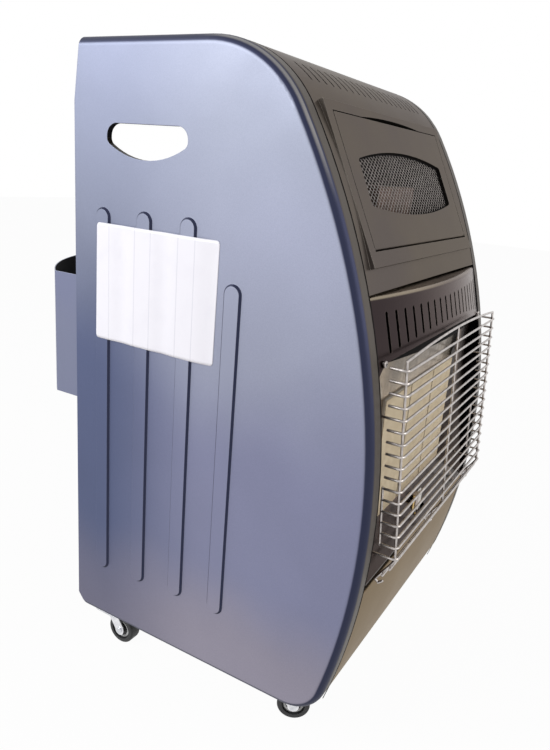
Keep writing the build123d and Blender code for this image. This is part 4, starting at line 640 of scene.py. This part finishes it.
def arc_points(middle, radius, start, end, steps):
    """Points (Y, Z) on an arc, each with its outward direction."""
    points = []
    for i in range(steps + 1):
        angle = start + (end - start) * i / steps
        out_y, out_z = -math.cos(angle), math.sin(angle)
        points.append((middle[0] + radius * out_y, middle[1] + radius * out_z, out_y, out_z))
    return points


def wrap_rings(mesh, rings, closed=False):
    """Faces between neighbouring rings of points, and from the last to the first where closed."""
    onward = rings[1:] + rings[:1] if closed else rings[1:]
    for ring, following in zip(rings, onward):
        for k in range(len(ring)):
            after = (k + 1) % len(ring)
            mesh.faces.new((ring[k], ring[after], following[after], following[k]))


shade_black, tree, shader = new_finish("black_painted_shade", specular=0.05)
shade_grain = speckle_node(tree, place_node(tree), 0.0007)
shade_black_tone = blend_node(tree, shade_grain, (0.004, 0.004, 0.005), (0.016, 0.015, 0.015))
tree.links.new(shade_black_tone, shader.inputs["Base Color"])
shader.inputs["Roughness"].default_value = 0.95
relief(tree, shader, shade_grain, 0.00005)

foot = -math.asin((bulge_middle[1] - seam_foot_z) / bulge_radius)
tangent = math.atan2(shoulder_middle[1] - bulge_middle[1], bulge_middle[0] - shoulder_middle[0])
seam_points = arc_points(bulge_middle, bulge_radius, foot, tangent, 60)
seam_points += arc_points(shoulder_middle, shoulder_radius, tangent, math.pi / 2, 24)[1:]
seam_points.append((seam_rear_y, top_z, 0.0, 1.0))
strip_section = (
    (seam_x, strip_sunk),
    (seam_x, -strip_proud),
    (seam_x + strip_width, -strip_proud),
    (seam_x + strip_width, strip_sunk),
)
for side, side_name in ((-1, "left"), (1, "right")):
    mesh = bmesh.new()
    rings = []
    for y, z, out_y, out_z in seam_points:
        rings.append(
            [mesh.verts.new((side * x, y - out_y * deep, z - out_z * deep)) for x, deep in strip_section]
        )
    wrap_rings(mesh, rings)
    mesh.faces.new(rings[0])
    mesh.faces.new(rings[-1])
    strip = new_piece(f"seam_shadow_strip_{side_name}", mesh, shade_black)
    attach(strip, "cabinet")

# ---- Painted shade liner under the shoulder's vents ----
# A black sheet with a woven look lies under the rounding as painted shade seen through the vents. It follows
# the rounding 5 mm inside the sheet.

liner_half, liner_inset, liner_thickness = 0.165, 0.005, 0.0004
liner_start, liner_end = math.radians(20.0), math.radians(92.0)
weave_per_metre = 900.0
shade_liner, tree, shader = new_finish("black_shade_liner", specular=0.1)
weave = tree.nodes.new("ShaderNodeTexVoronoi")
tree.links.new(place_node(tree, (weave_per_metre,) * 3), weave.inputs["Vector"])
shade_liner_tone = blend_node(tree, weave.outputs["Distance"], (0.003, 0.003, 0.003), (0.014, 0.013, 0.013))
tree.links.new(shade_liner_tone, shader.inputs["Base Color"])
shader.inputs["Roughness"].default_value = 0.9
relief(tree, shader, weave.outputs["Distance"], 0.0001)

liner_arc = arc_points(shoulder_middle, shoulder_radius - liner_inset, liner_start, liner_end, 24)
mesh = bmesh.new()
rows = []
for y, z, out_y, out_z in liner_arc:
    rows.append([mesh.verts.new((x, y, z)) for x in (-liner_half, 0.0, liner_half)])
lay_sheet(mesh, rows)
liner = new_piece("vent_shade_liner", mesh, shade_liner)
thicken(liner, liner_thickness)
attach(liner, "cabinet")

# ---- Mesh in the flap's window ----
# Expanded steel: slit and stretched sheet whose strands stand slanted, staggered diamonds of 9 mm by 6 mm,
# spot-welded behind the lip of the window. A thin black band between net and lip is painted shade and shows
# as a thin dark line all round.

net_middle_y, net_middle_z = -0.17853, 0.624
net_lean, net_rise = 0.43394, 0.90095
net_origin = Vector((0.0, net_middle_y, net_middle_z))
net_up = Vector((0.0, net_lean, net_rise))
net_out = Vector((0.0, -net_rise, net_lean))
net_depth = -0.0041
net_pitch, net_row = 0.0090, 0.0030
net_half, net_rows = 0.1355, range(-15, 18)
strand_width, strand_thick, strand_overlap = 0.00055, 0.00045, 0.0003
window_half = 0.131
window_rise = ((0.604, 0.594), (0.648, 0.659))
hidden_border = 0.0045


def window_edge(u, which, border=0.0):
    """Height up the slope of the window's lower (0) or upper (1) edge, moved out by a border."""
    side, middle = ((z - net_middle_z) / net_rise for z in window_rise[which])
    return middle - (middle - side) * (u / window_half) ** 2 + (border if which else -border)


def on_net(u, v, deep):
    """Point at u across and v up the slope, deep out of the flap's face."""
    return net_origin + Vector((u, 0, 0)) + net_up * v + net_out * deep


def in_net(u, v):
    """Whether a knot lies inside the net's outline."""
    lower, upper = (window_edge(u, which, hidden_border) for which in (0, 1))
    return abs(u) < net_half and lower < v < upper


def strand(mesh, start, end):
    """Slanted flat strand between two knots of the net."""
    along = (end - start).normalized()
    lean = (net_up * 0.55 + net_out * 0.83).normalized()
    wide = (lean - along * lean.dot(along)).normalized() * strand_width / 2
    thick = along.cross(wide).normalized() * strand_thick / 2
    rings = []
    for point in (start - along * strand_overlap, end + along * strand_overlap):
        rings.append(
            [mesh.verts.new(point + a * wide + b * thick) for a, b in ((1, 1), (1, -1), (-1, -1), (-1, 1))]
        )
    wrap_rings(mesh, rings)


net_steel, tree, shader = new_finish("coated_net_steel", metallic=0.5)
tone = ramp_node(tree, speckle_node(tree, place_node(tree), 0.004), 0.3, 0.7)
net_tone = blend_node(tree, tone, (0.42, 0.385, 0.365), (0.27, 0.245, 0.23))
tree.links.new(net_tone, shader.inputs["Base Color"])
tree.links.new(ramp_node(tree, tone, 0.0, 1.0, 0.34, 0.5), shader.inputs["Roughness"])

mesh = bmesh.new()
columns = int(net_half / net_pitch) + 1
for row in net_rows:
    for column in range(-columns, columns + 1):
        u = column * net_pitch + (net_pitch / 2 if row % 2 else 0.0)
        v = row * net_row
        for step in (-1, 1):
            ends = ((u, v), (u + step * net_pitch / 2, v + net_row))
            if all(in_net(*end) for end in ends):
                strand(mesh, *(on_net(*end, net_depth) for end in ends))
net = new_piece("expanded_window_net", mesh, net_steel, turn_outward=False)
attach(net, "outlet_flap")
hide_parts("window_mesh")

band_front, band_back = -0.0033, -0.0040
band_out, band_in = -0.0006, 0.0013
band_section = ((band_out, band_front), (band_in, band_front), (band_in, band_back), (band_out, band_back))
band_steps = 48
outline = []
for which, way in ((0, 1), (1, -1)):
    for i in range(band_steps + 1):
        u = window_half * (2 * i / band_steps - 1) * way
        outline.append((u, window_edge(u, which)))
mesh = bmesh.new()
rings = []
for i, (u, v) in enumerate(outline):
    before, after = outline[i - 1], outline[(i + 1) % len(outline)]
    step_u, step_v = after[0] - before[0], after[1] - before[1]
    length = math.hypot(step_u, step_v)
    in_u, in_v = -step_v / length, step_u / length
    rings.append([mesh.verts.new(on_net(u + in_u * a, v + in_v * a, deep)) for a, deep in band_section])
wrap_rings(mesh, rings, closed=True)
shade_band = new_piece("window_shade_band", mesh, shade_black)
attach(shade_band, "outlet_flap")

# ---- Hot-air duct, burner rails, heat shield, tray, flap pins and catch ----
# The duct is plain mild steel that the hot air has turned tan and rusty, and soot has darkened the rails.
# The shield is galvanised, with painted shade that turns it nearly black on the side that faces the burners.
# Pins and tray are zinc-plated; the catch is a magnet in a black moulded holder.


def bare_metal(name, colour, second, size, roughness, stretch=(1, 1, 1), metallic=1.0):
    """Uncoated metal: tone and gloss change in patches, with fine scratches along one way."""
    made, tree, shader = new_finish(name, metallic=metallic)
    place = place_node(tree, stretch)
    patches = ramp_node(tree, speckle_node(tree, place, size, 4.0), 0.3, 0.7)
    tree.links.new(blend_node(tree, patches, colour, second), shader.inputs["Base Color"])
    fine = speckle_node(tree, place, size / 12, 3.0)
    tree.links.new(ramp_node(tree, fine, 0.25, 0.75, *roughness), shader.inputs["Roughness"])
    edges = put_group(tree, edge_group)
    relief(tree, shader, fine, 0.00002, edges.outputs["Normal"])
    return made


def tint(made, share, tone):
    """Blends a tone into a finish's colour where the share is 1."""
    tree = made.node_tree
    colour = tree.nodes["Principled BSDF"].inputs["Base Color"]
    tree.links.new(blend_node(tree, share, colour.links[0].from_socket, tone), colour)


rusty = bare_metal(
    "heat_tinted_duct_steel", (0.115, 0.062, 0.042), (0.062, 0.037, 0.028), 0.02, (0.45, 0.7), metallic=0.35
)
dress(rusty, "outlet_duct")
zinc = bare_metal("bright_zinc", (0.74, 0.75, 0.77), (0.60, 0.61, 0.64), 0.004, (0.24, 0.42))
dress(zinc, "flap_hinge_pins", "base_tray")
sooted = bare_metal(
    "sooted_rail_steel", (0.050, 0.042, 0.038), (0.028, 0.024, 0.022), 0.02, (0.45, 0.65), metallic=0.5
)
dress(sooted, "burner_rail_top", "burner_rail_bottom")
galvanised = bare_metal(
    "dull_galvanised_shield", (0.22, 0.22, 0.225), (0.14, 0.14, 0.145), 0.012, (0.4, 0.6), metallic=0.8
)
tree = galvanised.node_tree
face_x, face_y, face_z = split_node(tree, facing_node(tree))
# Painted shade: faces that look forward, towards the burners, turn nearly black.
tint(galvanised, ramp_node(tree, face_y, 0.5, -0.3), (0.014, 0.012, 0.011))
dress(galvanised, "heat_shield")


def moulded(name, colour, roughness=0.45, grain=0.0006, depth=0.00004):
    """Moulded plastic with a fine eroded grain and slightly rounded edges."""
    made, tree, shader = new_finish(name)
    place = place_node(tree)
    pits = speckle_node(tree, place, grain)
    slow = ramp_node(tree, speckle_node(tree, place, 0.02), 0.3, 0.7)
    lighter = tuple(min(1.0, c * 1.35 + 0.004) for c in colour)
    tree.links.new(blend_node(tree, slow, colour, lighter), shader.inputs["Base Color"])
    gloss = ramp_node(tree, pits, 0.2, 0.8, roughness - 0.08, roughness + 0.1)
    tree.links.new(gloss, shader.inputs["Roughness"])
    edges = put_group(tree, edge_group, radius=0.0005)
    relief(tree, shader, pits, depth, edges.outputs["Normal"])
    return made


black_moulding = moulded("black_grained_moulding", (0.022, 0.022, 0.024))
dress(black_moulding, "flap_magnet", "control_plate", "control_knob", "igniter_body")

# ---- Slotted visor ----
# Bowed steel hood over the burners with eighteen slots, in a gloss dark brown vitreous enamel that takes the
# heat, with a painted highlight along the upper fold that is strongest towards the left. A black sheet close
# behind the slots is painted shade. Two bright cross-head screws hold the visor at its lower corners.

visor_gloss = enamel(
    "dark_brown_vitreous_enamel",
    (0.026, 0.018, 0.020),
    (0.038, 0.027, 0.026),
    (0.50, 0.44, 0.36),
    cloud=0.6,
    flake=0.1,
    roughness=0.22,
    edge=0.2,
    metallic=0.9,
    sheen_tone=(0.80, 0.74, 0.72),
)
fold_highlight_z, fold_highlight_x = (0.514, 0.520), (0.05, -0.12)
tree = visor_gloss.node_tree
face_x, face_y, face_z = split_node(tree, facing_node(tree))
place_x, place_y, place_z = split_node(tree, place_node(tree))
# Painted highlight along the upper fold, strongest towards the left.
fold_highlight = product_node(
    tree,
    ramp_node(tree, face_z, 0.45, 0.75),
    ramp_node(tree, place_x, *fold_highlight_x, 0.25, 1.0),
    ramp_node(tree, place_z, *fold_highlight_z),
    0.8,
)
tint(visor_gloss, fold_highlight, (0.34, 0.29, 0.21))
dress(visor_gloss, "reflector_hood")

# Painted shade: a dark sheet close behind the slots.
baffle_half, baffle_low, baffle_high = 0.168, 0.458, 0.513
baffle_inset, baffle_thickness = 0.0045, 0.0005
bow_radius, bow_depth = 0.9919, 0.0175
visor_y, visor_z = -0.21868, 0.523
visor_lean, lean_cosine = 0.25795, 0.9683
across, up = 36, 4
mesh = bmesh.new()
rows = []
for k in range(up + 1):
    z = baffle_low + (baffle_high - baffle_low) * k / up
    row = []
    for i in range(across + 1):
        x = baffle_half * (2 * i / across - 1)
        bow = math.sqrt(bow_radius**2 - x**2) - (bow_radius - bow_depth)
        y = visor_y + (z - visor_z) * visor_lean - bow / lean_cosine + baffle_inset
        row.append(mesh.verts.new((x, y, z)))
    rows.append(row)
lay_sheet(mesh, rows)
baffle = new_piece("visor_shade_baffle", mesh, shade_liner, turn_outward=False)
thicken(baffle, baffle_thickness)
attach(baffle, "cabinet")

cross_arm, cross_half, cross_proud, cross_sunk = 0.0020, 0.00045, 0.00005, 0.0003


def add_slab(mesh, upper, lower):
    """Closed slab between two outlines."""
    rings = [[mesh.verts.new(point) for point in outline] for outline in (upper, lower)]
    for ring in rings:
        mesh.faces.new(ring)
    wrap_rings(mesh, rings)


def cross_recesses(name, spots, way):
    """Dark crosses, painted shade of the recesses in screw heads whose faces look along way (-1 front, 1
    rear).
    """
    outline = []
    for a, b in ((1, 0), (0, 1), (-1, 0), (0, -1)):
        for along, aside in ((cross_arm, cross_half), (cross_half, cross_half), (cross_half, cross_arm)):
            outline.append((a * along - b * aside, b * along + a * aside))
    mesh = bmesh.new()
    for x, y, z in spots:
        upper, lower = (
            [(x + a, y + way * rise, z + b) for a, b in outline] for rise in (cross_proud, -cross_sunk)
        )
        add_slab(mesh, upper, lower)
    crosses = new_piece(name, mesh, shade_black)
    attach(crosses, "cabinet")


screw_x, screw_y, screw_z = 0.175, -0.24013, 0.460
cross_recesses("visor_screw_crosses", [(x, screw_y, screw_z) for x in (-screw_x, screw_x)], -1)

# ---- Wire guard ----
# Round steel wires, bent, spot-welded and bright plated. The legs of two of them run back through the
# reflector box and hold the guard. The visor's screws have the same plating.

bright_wire = bare_metal("bright_plated_wire", (0.54, 0.50, 0.48), (0.38, 0.35, 0.335), 0.006, (0.2, 0.36))
dress(bright_wire, "wire_guard", "hood_screws")

# ---- Reflector box ----
# Folded from mirror-polished steel, straw-coloured from the heat round the plaques. Painted shadow darkens
# it under the visor, painted dark reflections darken it towards the bottom, below the plaques and on the
# right wall, and a painted highlight runs down the right wall as a pale streak; faces that look rearward are
# nearly black.

under_visor_shadow_z, lower_reflection_shade_z, below_plaques_shade_z = (0.405, 0.435), (0.385, 0.285), (0.262, 0.250)
under_visor_shadow_x, right_wall_shade_x = (-0.15, -0.10), (0.118, 0.128)
highlight_streak_x, highlight_streak_half = 0.150, 0.006
reflector_steel, tree, shader = new_finish("straw_tinted_mirror_steel", metallic=1.0)
place = place_node(tree)
place_x, place_y, place_z = split_node(tree, place)
face_x, face_y, face_z = split_node(tree, facing_node(tree))
streaks = speckle_node(tree, place_node(tree, (1, 1, 0.12)), 0.01, 3.0)
patches = ramp_node(tree, speckle_node(tree, place, 0.06, 3.0), 0.3, 0.7)
wavy = product_node(tree, math_node(tree, "SUBTRACT", streaks, 0.5), 0.03)
level = math_node(tree, "ADD", place_z, wavy)
# Painted shadow under the visor.
under_visor_shadow = product_node(
    tree, ramp_node(tree, level, *under_visor_shadow_z), ramp_node(tree, place_x, *under_visor_shadow_x), 0.85
)
# Painted highlight: a pale streak down the right wall.
right_wall_highlight = ramp_node(tree, away_node(tree, place_x, highlight_streak_x), highlight_streak_half, 0.0)
right_wall_shade_and_highlight = blend_node(tree, right_wall_highlight, (0.030, 0.019, 0.015), (0.16, 0.12, 0.095))
heat_tint_and_shade = blend_node(tree, patches, (0.50, 0.405, 0.29), (0.37, 0.285, 0.19))
heat_tint_and_shade = blend_node(tree, under_visor_shadow, heat_tint_and_shade, (0.13, 0.10, 0.070))
# Painted dark reflections towards the bottom, below the plaques and on the right wall.
heat_tint_and_shade = blend_node(tree, ramp_node(tree, level, *lower_reflection_shade_z), heat_tint_and_shade, (0.115, 0.072, 0.055))
heat_tint_and_shade = blend_node(tree, ramp_node(tree, level, *below_plaques_shade_z), heat_tint_and_shade, (0.040, 0.026, 0.022))
heat_tint_and_shade = blend_node(tree, ramp_node(tree, place_x, *right_wall_shade_x), heat_tint_and_shade, right_wall_shade_and_highlight)
# Faces that look rearward turn nearly black.
heat_tint_and_shade = blend_node(tree, ramp_node(tree, face_y, 0.02, 0.12), heat_tint_and_shade, (0.012, 0.010, 0.009))
tree.links.new(heat_tint_and_shade, shader.inputs["Base Color"])
tree.links.new(ramp_node(tree, streaks, 0.3, 0.7, 0.14, 0.26), shader.inputs["Roughness"])
relief(tree, shader, speckle_node(tree, place, 0.03), 0.0006)
dress(reflector_steel, "reflector_box")

# ---- Burners ----
# Three pressed and aluminised burner bodies, each closed by a ceramic plaque with thousands of
# 1.3 mm flame holes. The plaques are sand-coloured and scorched a little along their lower edge.

burner_skin = bare_metal(
    "aluminised_burner_steel", (0.50, 0.49, 0.47), (0.38, 0.36, 0.34), 0.02, (0.4, 0.6), metallic=0.8
)
dress(burner_skin, "burner_body_left", "burner_body_centre", "burner_body_right")

plaque, tree, shader = new_finish("perforated_sand_ceramic", specular=0.25)
hole_pitch = 0.0024
scorch_z = (0.285, 0.258)
place = place_node(tree)
cell_x, cell_y, cell_z = split_node(tree, place_node(tree, (1 / hole_pitch, 0.0, 1 / hole_pitch)))
row_odd = math_node(tree, "MODULO", math_node(tree, "FLOOR", cell_z), 2.0)
along = math_node(tree, "ADD", cell_x, product_node(tree, row_odd, 0.5))
off_x = math_node(tree, "SUBTRACT", math_node(tree, "FRACT", math_node(tree, "ADD", along, 100.0)), 0.5)
off_z = math_node(tree, "SUBTRACT", math_node(tree, "FRACT", cell_z), 0.5)
squares = math_node(tree, "ADD", product_node(tree, off_x, off_x), product_node(tree, off_z, off_z))
hole = ramp_node(tree, math_node(tree, "SQRT", squares), 0.32, 0.24)
patches = ramp_node(tree, speckle_node(tree, place, 0.012, 4.0), 0.3, 0.7)
sand = blend_node(tree, patches, (0.86, 0.74, 0.54), (0.76, 0.64, 0.45))
place_x, place_y, place_z = split_node(tree, place)
scorch = ramp_node(tree, place_z, *scorch_z, 0.0, 0.45)
scorched = blend_node(tree, scorch, sand, (0.30, 0.22, 0.14))
# Painted shade: each flame hole is a darker brown dot.
holes_in_shade = blend_node(tree, product_node(tree, hole, 0.5), scorched, (0.22, 0.15, 0.09))
tree.links.new(holes_in_shade, shader.inputs["Base Color"])
shader.inputs["Roughness"].default_value = 0.92
relief(tree, shader, math_node(tree, "SUBTRACT", 1.0, hole), 0.0004)
dress(plaque, "ceramic_plaque_left", "ceramic_plaque_centre", "ceramic_plaque_right")

# ---- Pilot group, gas train and leads ----
# A steel bracket with the pilot burner, a glazed electrode, brass manifold, injectors, nozzle and
# pipes, a die-cast valve and a sleeved ignition lead, inside the cabinet or under the plaques.

pilot_steel = bare_metal("pilot_bracket_steel", (0.66, 0.62, 0.58), (0.42, 0.36, 0.34), 0.008, (0.25, 0.45))
dress(pilot_steel, "pilot_burner")
brass = bare_metal("turned_brass", (0.78, 0.58, 0.26), (0.62, 0.43, 0.18), 0.01, (0.24, 0.4), (1, 1, 6))
dress(brass, "gas_manifold", "injectors", "inlet_nozzle", "gas_pipe_main", "gas_pipe_pilot", "thermocouple")
casting = bare_metal("die_cast_alloy", (0.56, 0.56, 0.57), (0.44, 0.44, 0.46), 0.006, (0.4, 0.6))
dress(casting, "gas_valve", "valve_stem")
glaze, tree, shader = new_finish("white_glazed_ceramic", coat=0.6, coat_roughness=0.05)
craze = ramp_node(tree, speckle_node(tree, place_node(tree), 0.002, 3.0), 0.4, 0.8)
tree.links.new(blend_node(tree, craze, (0.84, 0.82, 0.78), (0.70, 0.67, 0.62)), shader.inputs["Base Color"])
shader.inputs["Roughness"].default_value = 0.2
dress(glaze, "spark_electrode")
sleeve = moulded("red_brown_lead_sleeve", (0.20, 0.045, 0.03), 0.5)
dress(sleeve, "ignition_lead")

# ---- Lower front panel ----
# The bulged sheet under the guard, rolled in at its upper edge, in the same metallic enamel as the upper
# panel, painted here as a lighter, warmer, olive copy that stands in for the light it catches.

lower_lit_enamel = enamel(
    "olive_brown_lit_copy_enamel",
    (0.225, 0.175, 0.118),
    (0.190, 0.150, 0.102),
    (0.50, 0.45, 0.36),
    cloud=0.6,
    flake=0.3,
    roughness=0.33,
    edge=0.5,
    metallic=0.85,
    sheen_tone=(0.6, 0.52, 0.42),
)
dress(lower_lit_enamel, "lower_front_panel")

# ---- Controls on the top ----
# A black control plate, a round grip knob for the gas valve and the piezo igniter's grey button. The
# knob has a printed bar, and the plate a printed crescent that widens towards full heat over the
# knob's half turn, without figures.

button_grey = moulded("grey_button_moulding", (0.24, 0.245, 0.26), 0.4)
dress(button_grey, "igniter_button")
pale_print = moulded("pale_pad_print", (0.62, 0.62, 0.60), 0.5, 0.0003, 0.000005)

knob_x, knob_y, knob_top = -0.088, 0.035, 0.767
plate_top = 0.7514
index_half, index_near, index_far = 0.001, -0.006, -0.022
scale_radius, scale_thin, scale_growth = 0.028, 0.0003, 0.0027


def print_flat(name, outline, low, high, body):
    """Printed mark with an outline in X and Y between two heights."""
    mesh = bmesh.new()
    add_slab(mesh, [(x, y, high) for x, y in outline], [(x, y, low) for x, y in outline])
    piece = new_piece(name, mesh, pale_print)
    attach(piece, body)


def round_knob(radius, angle):
    """Point at a radius and an angle round the knob's axis."""
    return knob_x + radius * math.cos(angle), knob_y + radius * math.sin(angle)


index_bar = []
for end, turn in ((index_far, math.pi), (index_near, 0.0)):
    for i in range(9):
        x, y = round_knob(index_half, turn + math.pi * i / 8)
        index_bar.append((x, y + end))
print_flat("knob_index", index_bar, knob_top - 0.0002, knob_top + 0.0003, "control_knob")

scale_steps = [(math.radians(-90.0 + 180.0 * i / 40), i / 40) for i in range(41)]
crescent = [round_knob(scale_radius, angle) for angle, share in scale_steps]
for angle, share in reversed(scale_steps):
    crescent.append(round_knob(scale_radius + scale_thin + scale_growth * share, angle))
print_flat("heat_scale", crescent, plate_top - 0.0001, plate_top + 0.00006, "cabinet")

# ---- Screws and casters ----
# Zinc-plated screws, caster plates, forks and rivets; black rubber wheels, each with a light grey
# nylon bush that shows as a ring in both of its sides.

dress(zinc, "rear_panel_screws", "caster_plates", "caster_screws")
corners = ("front_left", "front_right", "rear_left", "rear_right")
fork_zinc = bare_metal("pressed_fork_zinc", (0.84, 0.84, 0.86), (0.70, 0.70, 0.73), 0.006, (0.26, 0.42))
dress(fork_zinc, *[f"caster_fork_{corner}" for corner in corners])
dress(zinc, *[f"caster_axle_{corner}" for corner in corners])
rubber = moulded("black_wheel_rubber", (0.014, 0.014, 0.015), 0.55, 0.0009, 0.00006)
dress(rubber, *[f"caster_wheel_{corner}" for corner in corners])

nylon = moulded("light_grey_nylon", (0.42, 0.42, 0.41), 0.5)
bush_section = (
    (0.0095, 0.0052),
    (0.0095, 0.0059),
    (0.0099, 0.0062),
    (0.0121, 0.0062),
    (0.0125, 0.0059),
    (0.0125, 0.0052),
)
wheel_places = (
    ((-0.167111, -0.175773, 0.02), (0.906308, 0.422618, 0.0)),
    ((0.167111, -0.175773, 0.02), (0.906308, -0.422618, 0.0)),
    ((-0.184, 0.0797, 0.02), (1.0, 0.0, 0.0)),
    ((0.184, 0.0797, 0.02), (1.0, 0.0, 0.0)),
)
upward = Vector((0, 0, 1))
bush_steps = 48
for corner, (middle, axle) in zip(corners, wheel_places):
    middle, axle = Vector(middle), Vector(axle)
    level_way = axle.cross(upward)
    mesh = bmesh.new()
    for side in (-1, 1):
        rings = []
        for i in range(bush_steps):
            angle = 2 * math.pi * i / bush_steps
            spoke = level_way * math.cos(angle) + upward * math.sin(angle)
            rings.append([mesh.verts.new(middle + spoke * r + axle * side * out) for r, out in bush_section])
        wrap_rings(mesh, rings, closed=True)
    bush = new_piece(f"wheel_bush_{corner}", mesh, nylon)
    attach(bush, f"caster_wheel_{corner}")

screw_x, screw_y, screw_heights = 0.1783, 0.14085, (0.632, 0.674)
rear_screws = [(x, screw_y, z) for x in (-screw_x, screw_x) for z in screw_heights]
cross_recesses("rear_screw_crosses", rear_screws, 1)
